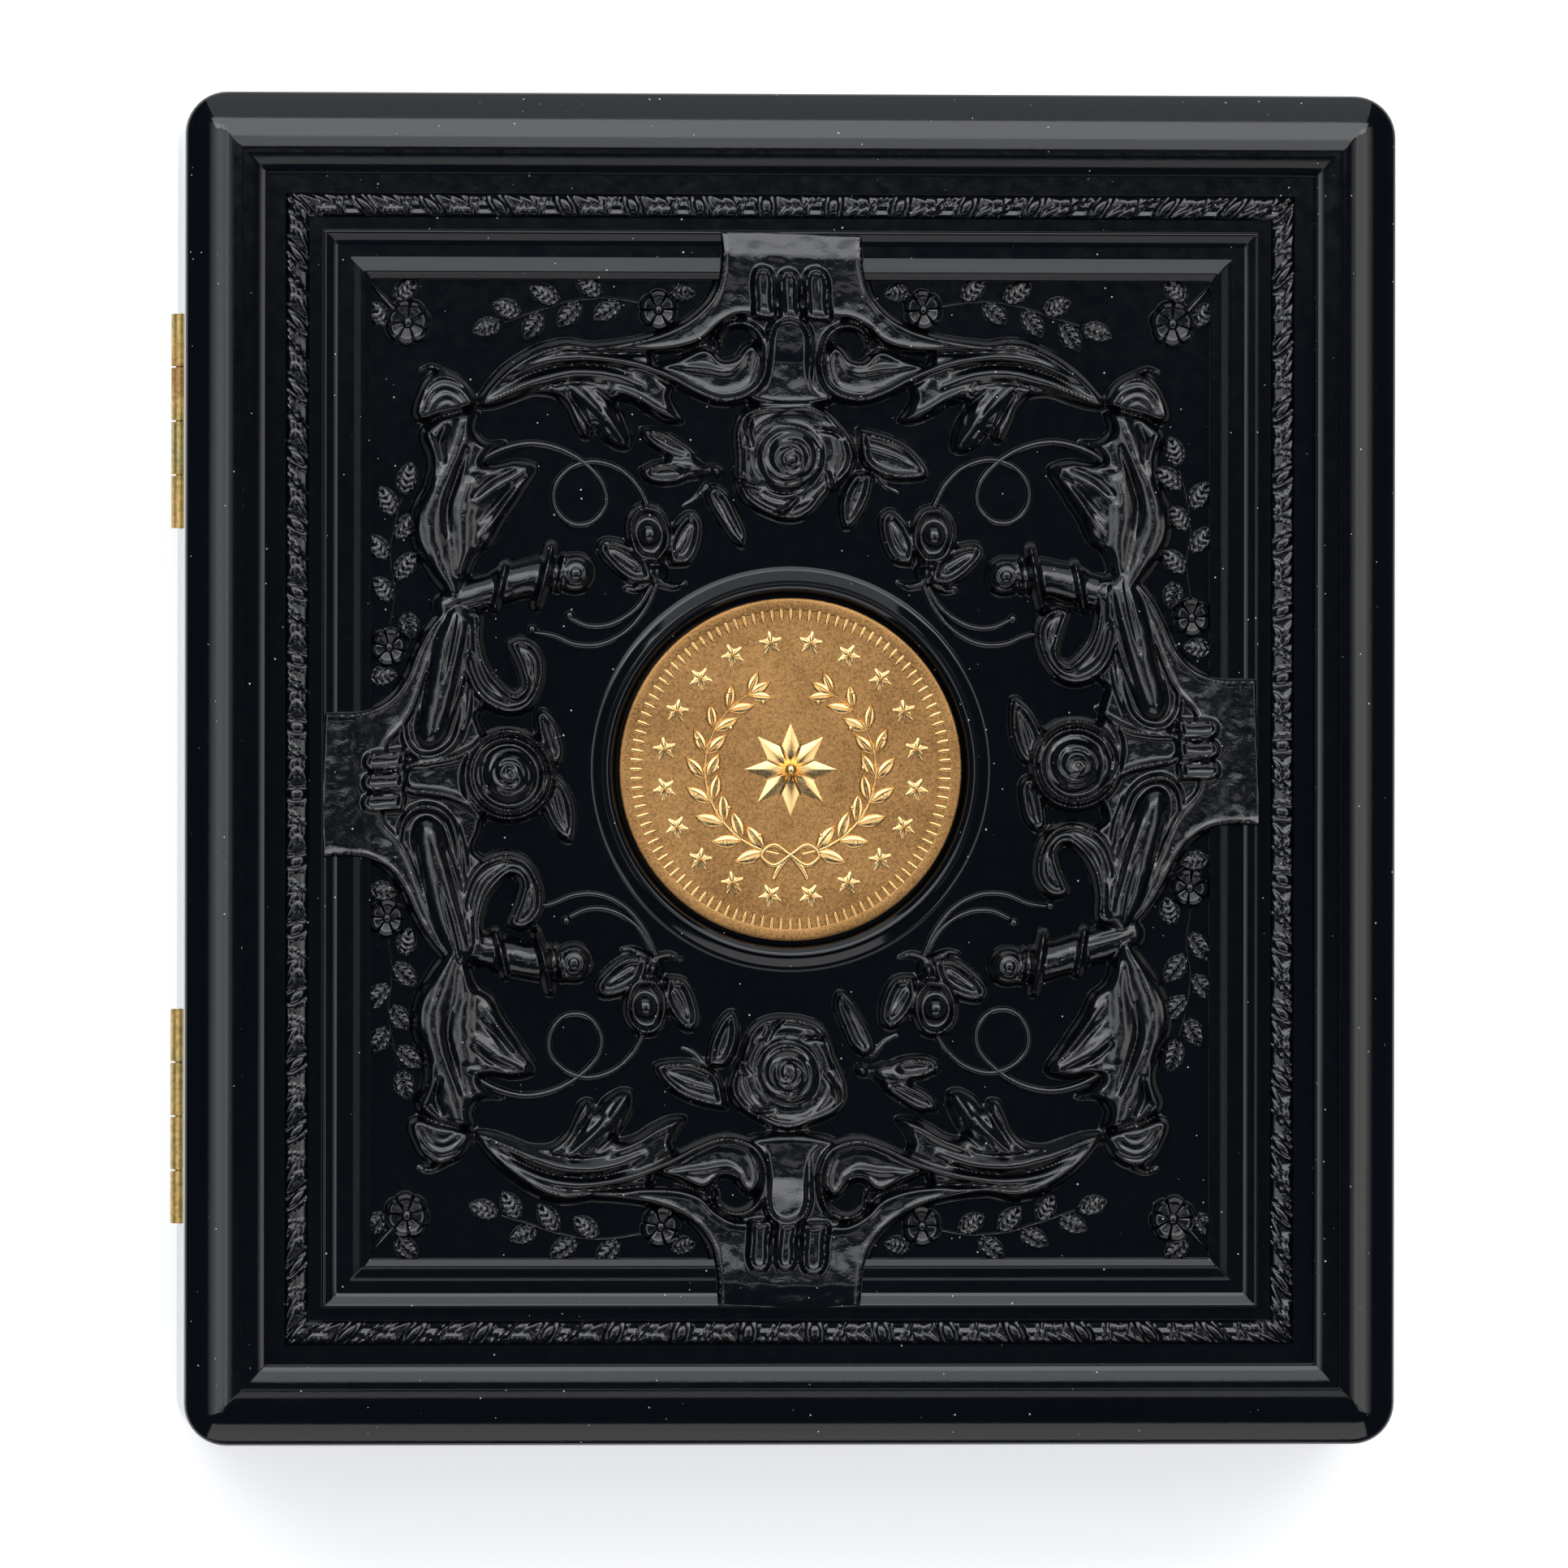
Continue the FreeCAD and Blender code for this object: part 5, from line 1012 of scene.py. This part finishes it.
def panel_relief():
    """The whole relief of the panel and of the straps."""
    reach = np.array([HALF_X - FRAME_INSET + 0.2, HALF_Y - FRAME_INSET + 0.2])
    relief = Relief(-reach, reach)
    corner, end, side = corner_relief(), end_relief(), side_relief()
    sprays = {-1: Relief((0, 12), (16, 32)), 1: Relief((0, 12), (16, 32))}
    sprays[-1].carve(BUD_SPRAY)
    sprays[1].carve(LEAF_SPRAY)
    leaves = Relief((15, -8), (22, 8))
    leaves.carve(SIDE_ROSE_LEAVES)
    for sign_x, sign_y in QUARTERS:
        relief.take(corner, sign_x, sign_y)
        relief.take(sprays[sign_x * sign_y], sign_x, sign_y)
    for sign in (-1, 1):
        relief.take(end, 1, sign)
        relief.take(side, sign, 1, SIDE_SHIFT[sign])
        relief.take(leaves, sign, -sign)
        side_rose_relief(relief, (sign * SIDE_ROSE_X, SIDE_SHIFT[sign] * SIDE_ROSE_SHIFT_SHARE))
    rose_relief(relief, *UPPER_ROSE)
    rose_relief(relief, *LOWER_ROSE)
    relief.rise = soften(relief.rise, SOFTEN)
    marks = soften(draws.normal(size=relief.rise.shape), TOOL_MARK_SIZE)
    relief.rise += TOOL_MARKS * marks / marks.std() * ease(relief.rise / 0.6)
    return relief


def relief_quarter(relief, sign_x, sign_y, name):
    """One quarter of the relief, between the coin's ring and the outer ends of the straps, in two pieces."""
    reach_x, reach_y = HALF_X - FRAME_INSET - 0.05, HALF_Y - FRAME_INSET - 0.05
    count = int((reach_x + reach_y) / RELIEF_STEP)
    run = np.linspace(0, reach_x + reach_y, count)
    edge = np.stack([np.minimum(reach_x, reach_x + reach_y - run), np.minimum(run, reach_y)], 1)
    inner = edge * ((RING_RADIUS + 0.35) / np.linalg.norm(edge, axis=1))[:, None]
    t = np.linspace(0, 1, int((np.linalg.norm(edge, axis=1).max() - RING_RADIUS) / RELIEF_STEP))[:, None, None]
    plan = (inner + t * (edge - inner)) * (sign_x, sign_y)
    pieces = []
    for part, columns in (("side", plan[:, :count // 2 + 1]), ("end", plan[:, count // 2:])):
        if sign_x * sign_y < 0:
            columns = columns[:, ::-1]
        carving = Carving(PANEL)
        carving.patch(np.dstack([columns, PANEL - HIDDEN + relief.at(columns[:, :, 0], columns[:, :, 1])]))
        pieces.append(carving.piece(name + "_" + part, "lid", CARVED))
    return pieces


def carve_relief():
    """The relief, quarter by quarter."""
    relief = panel_relief()
    return [piece for signs, name in QUARTERS.items()
            for piece in relief_quarter(relief, *signs, "lid_relief_" + name)]


# Finer carving that lies on the panel: tendrils and sprigs

WOBBLE = 0.1

TENDRILS = [
    Ridge([(25.4, 23.6), (23.4, 24.9), (20.8, 25.6), (18.4, 25.2), (16.3, 24.0), (14.9, 22.4), (14.7, 20.8),
           (15.8, 19.4), (17.4, 19.3), (18.6, 20.5), (18.7, 22.2), (17.6, 23.6), (15.8, 24.2), (13.8, 23.7),
           (12.2, 22.3), (11.2, 20.4)], (0.8, 0.68, 0.6, 0.58, 0.58, 0.58, 0.6),
          (0.5, 0.44, 0.4, 0.4, 0.4, 0.4, 0.4)),
    Ridge([(10.5, 14.8), (11.4, 12.8), (13.0, 10.9), (15.0, 9.9), (17.0, 9.9), (18.8, 10.6), (20.2, 10.8)],
          (0.58, 0.58, 0.56, 0.54, 0.48), (0.4,)),
    Ridge([(10.9, 14.4), (12.2, 12.5), (14.2, 11.3), (16.0, 11.2), (17.4, 11.8)], (0.56, 0.56, 0.5), (0.38,)),
]
TENDRIL_BALLS = [(20.5, 10.8), (17.6, 11.9)]
BALL_RADIUS = 0.42

# Sprigs: a stem with leaves on alternate sides, and a flower at its start
Sprig = namedtuple("Sprig", "points leaves flower radius")
EDGE_SPRIG = Sprig([(11.6, 36.4), (14.5, 36.8), (17.5, 36.5), (20.4, 35.6), (22.6, 34.9)], 6, (10.4, 36.0), 1.7)
SIDE_SPRIG = Sprig([(31.6, 12.4), (31.3, 15.0), (31.6, 18.0), (31.1, 21.0), (30.7, 22.4)], 5, (31.6, 10.7), 1.6)
CORNER_STEM = [(31.4, 36.2), (32.4, 37.3), (33.3, 38.3)]
CORNER_FLOWER = (30.2, 35.2)
CORNER_FLOWER_RADIUS = 1.95
LOOSE_LEAVES = [((31.2, 37.0), (29.4, 38.5)), ((32.0, 35.0), (33.4, 36.8)), ((9.4, 37.6), (7.4, 37.3))]
SIDE_LEAVES = [((33.2, 8.3), (30.9, 8.6)), ((30.3, 13.5), (29.8, 11.3))]
LEAF_WIDTH = 1.65
LEAF_LENGTH = 2.65
LEAF_RISE = 0.55
LEAF_WIDTH_SHARES, LEAF_TIP = (0.3, 0.88, 1.0, 0.75), 0.1
LEAF_RISE_SHARES = (0.7, 1.0, 1.0, 0.6)
LEAF_STEP = 0.09
LEAF_LEAN = math.radians(40)
STALK = 0.3
STEM_WIDTH = 0.28
STEM_RISE = 0.22


def hand(points, sign_x, sign_y, shift=0.0):
    """Points of a quarter's stroke mirrored to their quarter, moved as a carver's hand would."""
    slip = draws.normal(0, WOBBLE, 2)
    return [(sign_x * (x + slip[0]), sign_y * (y + slip[1]) + shift) for x, y in points]


def ball(carving, centre, radius, base=0.0):
    """A round boss."""
    def height(share, angle):
        return radius * share + 0 * angle, radius * np.sqrt(np.clip(1 - share ** 2, 0, 1)) + 0 * angle
    carving.rings(centre, 9, height, 20, base)


def small_leaf(carving, foot, tip):
    """A small veined leaf from its foot to its tip."""
    middle = ((foot[0] + tip[0]) / 2, (foot[1] + tip[1]) / 2)
    widths = [share * LEAF_WIDTH for share in LEAF_WIDTH_SHARES] + [LEAF_TIP]
    heights = [share * LEAF_RISE for share in LEAF_RISE_SHARES]
    carving.stroke([foot, middle, tip], widths, heights, veined, across=19, step=LEAF_STEP)


def flower(carving, centre, radius, petals, turn):
    """A small open flower with notched petals round a button."""
    def height(share, angle):
        wave = np.abs(np.cos(petals * (angle - turn) / 2))
        reach = radius * (0.86 + 0.14 * wave ** 0.5)
        gap = 1 - 0.8 * np.exp(-(wave / 0.2) ** 2) * np.clip(share * 3, 0, 1)
        lip = 0.62 + 0.38 * np.exp(-((share - 0.84) / 0.09) ** 2)
        dish = np.clip((1 - share) * 9, 0, 1) ** 0.5
        return share * reach, 0.6 * gap * lip * dish * (0.55 + 0.45 * share)
    carving.rings(centre, 15, height, petals * 12)
    ball(carving, centre, radius * 0.28, 0.2)


def sprig(carving, plan, sign_x, sign_y, shift=0.0):
    """A stem with its leaves and its flower."""
    points = hand(plan.points, sign_x, sign_y, shift)
    carving.stroke(points, (STEM_WIDTH,), (STEM_RISE,), domed, across=7)
    path = through(points, plan.leaves + 2)
    tangent = np.gradient(path, axis=0)
    for k in range(1, plan.leaves + 2):
        heading = math.atan2(tangent[k][1], tangent[k][0])
        side = 1 if k % 2 else -1
        lean = heading + (side * LEAF_LEAN if k <= plan.leaves else 0)
        ahead = np.array([math.cos(lean), math.sin(lean)])
        foot = path[k] + STALK * ahead
        tip = foot + LEAF_LENGTH * draws.uniform(0.88, 1.05) * ahead
        small_leaf(carving, foot, tip)
    centre = hand([plan.flower], sign_x, sign_y, shift)[0]
    flower(carving, centre, plan.radius, 6, draws.uniform(0, 1))


def carve_foliage():
    """Tendrils and sprigs."""
    carving = Carving(PANEL)
    for sign_x, sign_y in QUARTERS:
        shift = SIDE_SHIFT[sign_x]
        for points, widths, heights in TENDRILS:
            carving.stroke(hand(points, sign_x, sign_y), widths, heights, domed, across=9)
        for centre in TENDRIL_BALLS:
            ball(carving, hand([centre], sign_x, sign_y)[0], BALL_RADIUS)
        sprig(carving, EDGE_SPRIG, sign_x, sign_y)
        sprig(carving, SIDE_SPRIG, sign_x, sign_y, shift)
        carving.stroke(hand(CORNER_STEM, sign_x, sign_y), (0.5, 0.45, 0.15), (0.4,), domed, across=9)
        flower(carving, hand([CORNER_FLOWER], sign_x, sign_y)[0], CORNER_FLOWER_RADIUS, 7, draws.uniform(0, 1))
        for foot, tip in LOOSE_LEAVES:
            small_leaf(carving, *hand([foot, tip], sign_x, sign_y))
        for foot, tip in SIDE_LEAVES:
            small_leaf(carving, *hand([foot, tip], sign_x, sign_y, shift))
    return carving.piece("lid_foliage", "lid", CARVED)


shell = lid_shell()
for carved in (shell, ribbon_band(), *carve_relief(), carve_foliage()):
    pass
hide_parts("lid_cover")


# Coins: a turned blank with a toothed border, a ring of stars, a wreath and a star in its middle

RIM_SHARE = 0.932
TOOTH_SHARE = 0.865
TEETH = 104
TOOTH_WIDTH_SHARE, TOOTH_RISE = 0.52, 0.15
FIELD_DEPTH = 0.13
COIN_COLUMNS = 240
STAR_RING_SHARE = 0.745
STAR_COUNT = 20
WREATH_SHARE = 0.50
WREATH_STATIONS = 9
LEAF_SPREAD = 0.62
CENTRE_STAR_SHARE = 0.27
BOW = [(0.0, -0.5), (0.10, -0.44), (0.17, -0.50), (0.10, -0.56), (0.0, -0.5)]
BOW_TAIL = [(0.0, -0.5), (0.07, -0.58), (0.10, -0.64)]


def star(carving, centre, radius, points, inner, rise, turn):
    """A raised star with a ridge to each point."""
    def height(share, angle):
        phase = np.abs(np.mod((angle - turn) * points / (2 * math.pi) + 0.5, 1) - 0.5) * 2
        tip, notch = radius, radius * inner
        sweep = math.pi / points
        reach = tip * notch * math.sin(sweep) / (notch * np.sin(sweep * (1 - phase)) + tip * np.sin(sweep * phase))
        return share * reach, rise * (1 - share) * (1 - 0.35 * phase) + 0.03
    carving.rings(centre, 8, height, points * 12)


def coin_blank(centre, radius, bottom, top):
    """A coin without its design: its edge, rim and sunk field."""
    field = top - FIELD_DEPTH
    angles = np.linspace(0, 2 * math.pi, COIN_COLUMNS, endpoint=False)
    profile = [(0.97 * radius, bottom), (radius, bottom + 0.12), (radius, top - 0.1),
               (0.994 * radius, top - 0.02), (0.985 * radius, top), ((RIM_SHARE + 0.009) * radius, top),
               (RIM_SHARE * radius, top - 0.03), (RIM_SHARE * radius - 0.03, field),
               (RIM_SHARE * radius - 0.2, field), (0.5, field)]
    x, y = np.cos(angles), np.sin(angles)
    blank = Carving(field)
    blank.loops(np.array([np.stack([centre[0] + r * x, centre[1] + r * y, np.full_like(angles, z)], 1)
                          for r, z in profile]))
    return blank


def coin_wreath(coin, at, radius, sign):
    """One branch of the wreath: its stem, and leaves and berries at stations along it."""
    stem = [-math.pi / 2 + sign * math.radians(8 + 150 * k / 12) for k in range(13)]
    coin.stroke([at(WREATH_SHARE, a) for a in stem], (0.3, 0.24, 0.14), (0.14,), domed, across=7)
    for k in range(WREATH_STATIONS):
        angle = -math.pi / 2 + sign * math.radians(17 + 16.6 * k)
        size = radius * (0.195 - 0.005 * k)
        foot = np.array(at(WREATH_SHARE, angle))
        heading = angle + sign * math.pi / 2
        last = k == WREATH_STATIONS - 1
        for lean in (-LEAF_SPREAD, 0.0, LEAF_SPREAD) if last else (-LEAF_SPREAD, LEAF_SPREAD):
            ahead = np.array([math.cos(heading + lean), math.sin(heading + lean)])
            path = [foot + share * size * ahead for share in (0.06, 0.5, 1.0)]
            widths = (0.12 * size, 0.42 * size, 0.36 * size, 0.04)
            coin.stroke(path, widths, (0.14, 0.24, 0.2, 0.1), bladed, across=11, step=0.1)
        berry = at(WREATH_SHARE + 0.075 * (1 if k % 2 else -1), angle + sign * math.radians(8))
        ball(coin, berry, 0.018 * radius)


def coin_design(centre, radius, field):
    """The raised design: teeth, a ring of stars, a wreath with a bow, and a star in the middle."""
    coin = Carving(field)

    def at(share, angle):
        return (centre[0] + radius * share * math.cos(angle), centre[1] + radius * share * math.sin(angle))

    width = TOOTH_WIDTH_SHARE * 2 * math.pi * radius * TOOTH_SHARE / TEETH
    for k in range(TEETH):
        angle = 2 * math.pi * k / TEETH
        tooth = [at(TOOTH_SHARE, angle), at(RIM_SHARE + 0.004, angle)]
        coin.stroke(tooth, (width,), (TOOTH_RISE,), domed, across=7, blunt=(width, 0))
    for k in range(STAR_COUNT):
        angle = 2 * math.pi * (k + 0.5) / STAR_COUNT
        star(coin, at(STAR_RING_SHARE, angle), 0.078 * radius, 5, 0.45, 0.22, angle)
    for sign in (-1, 1):
        coin_wreath(coin, at, radius, sign)
    for sign in (-1, 1):
        for points, widths, rise in ((BOW, (0.4,), 0.22), (BOW_TAIL, (0.3, 0.5, 0.4), 0.18)):
            strand = [(centre[0] + sign * radius * x, centre[1] + radius * y) for x, y in points]
            coin.stroke(strand, widths, (rise,), domed, across=9)
    star(coin, tuple(centre), CENTRE_STAR_SHARE * radius, 8, 0.52, 0.5, math.pi / 2)
    star(coin, tuple(centre), 0.62 * CENTRE_STAR_SHARE * radius, 8, 0.5, 0.62, math.pi / 2 + math.pi / 8)
    ball(coin, tuple(centre), 0.035 * radius, 0.3)
    return coin


def struck_coin(node, body, slot):
    """A coin in place of a node, with the design on its upper face."""
    low, high = box(node)
    centre = (low + high)[:2] / 2
    radius, top, bottom = (high[0] - low[0]) / 2, high[2], low[2]
    name = node + "_struck"
    blank, design = coin_blank(centre, radius, bottom, top), coin_design(centre, radius, top - FIELD_DEPTH)
    # The design takes the relief finish; on gold coins its lighter gold is a painted highlight
    pieces = [blank.piece(name, body, FINISHES[slot]),
              design.piece(name + "_relief", body, FINISHES[slot + "_relief"])]
    for piece in pieces:
        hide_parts(node)


struck_coin("lid_coin", "lid", "coin_gold")
struck_coin("large_coin", "base", "coin_silver")
struck_coin("medium_coin", "base", "coin_silver")
struck_coin("small_coin", "base", "coin_gold")


# Velvet pad inside the lid: a crowned cushion whose sides pull in between its corners

PAD_STEPS = 72
PAD_PULL = 0.012
PAD_RIPPLE = 0.05
PAD_EDGE, PAD_SPARE = 0.2, 0.25


def velvet_pad():
    """The cushion, flat where it lies on its board and crowned towards the coins."""
    low, high = box("lid_pad")
    middle, half = (low + high) / 2, (high - low) / 2
    t = np.sin(np.linspace(-1, 1, PAD_STEPS) * math.pi / 2)
    u, v = np.meshgrid(t, t, indexing="ij")
    x = middle[0] + half[0] * u * (1 - PAD_PULL * (1 - v ** 2))
    y = middle[1] + half[1] * v * (1 - PAD_PULL * (1 - u ** 2))
    crown = ((1 - u ** 6) * (1 - v ** 6)) ** 0.42
    ripple = PAD_RIPPLE * np.sin(9 * u + 2) * np.sin(7 * v) * crown
    deep = (high[2] - low[2] - PAD_SPARE) * crown + PAD_EDGE
    lower = np.dstack([x, y, high[2] - deep + ripple])
    upper = np.dstack([x, y, np.full_like(x, high[2])])
    quads, rim = grid_faces(*u.shape)
    over = u.size
    walls = [[a, b, b + over, a + over] for a, b in zip(rim, np.roll(rim, -1))]
    pad = Carving(low[2])
    pad.add(np.concatenate([lower.reshape(-1, 3), upper.reshape(-1, 3)]),
            quads[:, ::-1].tolist() + (quads + over).tolist() + walls)
    piece = pad.piece("velvet_pad", "lid", FINISHES["pad_velvet"])
    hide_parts("lid_pad")


velvet_pad()


# Stage: white floor, softboxes and the camera over the lid

FLOOR_SIZE, FLOOR_GAP = 6.0, 0.0002
FLOOR_SHADES = [(0.3, (0.84, 0.84, 0.84)), (0.7, (0.88, 0.88, 0.88))]
FLOOR_GLOW = 0.5
CEILING = (0.042, 0.06, 0.09, 1)
SOFTBOX_DISTANCE = 1.1

# Lamps: azimuth, angles from the zenith, breadth, radiance, colour and the share of the radiance at the edges
SOFTBOXES = {
    "softbox_back": (90, 20, 46, 1.6, 3.4, (0.97, 0.98, 1.0), 1.0),
    "softbox_back_low": (90, 46, 86, 1.4, 0.9, (0.95, 0.98, 1.0), 1.0),
    "softbox_back_high": (90, 6, 20, 0.5, 2.0, (0.96, 0.98, 1.0), 1.0),
    "softbox_left": (180, 13, 48, 1.2, 2.0, (0.95, 0.97, 1.0), 0.1),
    "softbox_right": (0, 20, 53, 1.2, 1.85, (1.0, 0.97, 0.95), 0.1),
    "softbox_front_low": (270, 54, 82, 1.2, 1.2, (1.0, 0.97, 0.97), 1.0),
    "softbox_front_high": (270, 7, 15, 0.5, 0.9, (1.0, 0.98, 0.98), 1.0),
}


def floor():
    """A white floor that keeps a soft shadow and shows white to the camera, to gloss and through clear plastic."""
    bpy.ops.mesh.primitive_plane_add(size=FLOOR_SIZE, location=(0, 0, -FLOOR_GAP))
    plane = bpy.context.object
    plane.name = "floor"
    material, tree, shader, place = nodes_of("floor_white")
    tree.links.new(ramp(tree, noise(tree, place, 3), FLOOR_SHADES), shader.inputs["Base Color"])
    shader.inputs["Roughness"].default_value = 0.9
    path = tree.nodes.new("ShaderNodeLightPath")
    seen = times(tree, path.outputs["Is Camera Ray"], path.outputs["Is Glossy Ray"], "MAXIMUM")
    seen = times(tree, seen, path.outputs["Is Transmission Ray"], "MAXIMUM")
    tree.links.new(times(tree, seen, FLOOR_GLOW), shader.inputs["Emission Strength"])
    shader.inputs["Emission Color"].default_value = (1, 1, 1, 1)
    plane.data.materials.append(material)


def softbox(name, azimuth, near, far, breadth, radiance, colour, edge):
    """A rectangular lamp between two angles from the zenith, as bright as its radiance and less so at its edges."""
    turn, fall = math.radians(azimuth), math.radians((near + far) / 2)
    away = Vector((math.sin(fall) * math.cos(turn), math.sin(fall) * math.sin(turn), math.cos(fall)))
    lamp = bpy.data.lights.new(name, "AREA")
    lamp.shape = "RECTANGLE"
    lamp.size = breadth
    lamp.size_y = 2 * SOFTBOX_DISTANCE * math.tan(math.radians((far - near) / 2))
    lamp.energy = radiance * lamp.size * lamp.size_y * math.pi
    lamp.color = colour
    lamp.use_nodes = True
    tree = lamp.node_tree
    split = tree.nodes.new("ShaderNodeSeparateXYZ")
    tree.links.new(tree.nodes.new("ShaderNodeNewGeometry").outputs["Parametric"], split.inputs["Vector"])
    full, dim = (1, 1, 1), (edge,) * 3
    fade = ramp(tree, split.outputs["Y"], [(0.0, dim), (0.4, full), (0.6, full), (1.0, dim)])
    tree.links.new(fade, tree.nodes["Emission"].inputs["Strength"])
    thing = bpy.data.objects.new(name, lamp)
    thing.location = away * SOFTBOX_DISTANCE
    thing.rotation_euler = (-away).to_track_quat("-Z", "Y").to_euler()
    bpy.context.scene.collection.objects.link(thing)


def lights():
    """Softboxes round the camera under a dark ceiling."""
    for name, place in SOFTBOXES.items():
        softbox(name, *place)
    world = bpy.data.worlds.new("studio")
    bpy.context.scene.world = world
    world.use_nodes = True
    tree = world.node_tree
    path = tree.nodes.new("ShaderNodeLightPath")
    back = tree.nodes["Background"]
    back.inputs["Color"].default_value = CEILING
    white = tree.nodes.new("ShaderNodeBackground")
    white.inputs["Color"].default_value = (1, 1, 1, 1)
    blend = tree.nodes.new("ShaderNodeMixShader")
    seen = times(tree, path.outputs["Is Camera Ray"], path.outputs["Is Transmission Ray"], "MAXIMUM")
    tree.links.new(seen, blend.inputs["Fac"])
    tree.links.new(back.outputs["Background"], blend.inputs[1])
    tree.links.new(white.outputs["Background"], blend.inputs[2])
    tree.links.new(blend.outputs["Shader"], tree.nodes["World Output"].inputs["Surface"])


IMAGE_PIXELS = 1932
MM_PER_PIXEL = 0.0639
CAMERA_HEIGHT = 1.25
CAMERA_X = -0.084
OBJECT_PIXEL = (974.0, 948.0)
CAMERA_ROLL = math.radians(0.08)
SENSOR = 36.0


def camera():
    """The camera over the lid, a little to the hinge side."""
    data = bpy.data.cameras.new("camera")
    eye = Vector((CAMERA_X, 0.0, CAMERA_HEIGHT))
    off = [(p - IMAGE_PIXELS / 2) * MM_PER_PIXEL * MM for p in OBJECT_PIXEL]
    target = Vector((-off[0], off[1], PANEL * MM))
    away = (target - eye).length
    data.sensor_width = SENSOR
    data.lens = SENSOR * away / (IMAGE_PIXELS * MM_PER_PIXEL * MM)
    thing = bpy.data.objects.new("camera", data)
    ahead = (target - eye).normalized()
    right = ahead.cross(Vector((0, 1, 0))).normalized()
    up = right.cross(ahead)
    turn = Matrix((right, up, -ahead)).transposed() @ Matrix.Rotation(CAMERA_ROLL, 3, "Z")
    thing.matrix_world = Matrix.Translation(eye) @ turn.to_4x4()
    bpy.context.scene.collection.objects.link(thing)
    bpy.context.scene.camera = thing


floor()
lights()
camera()
bpy.context.scene.view_settings.view_transform = "Standard"
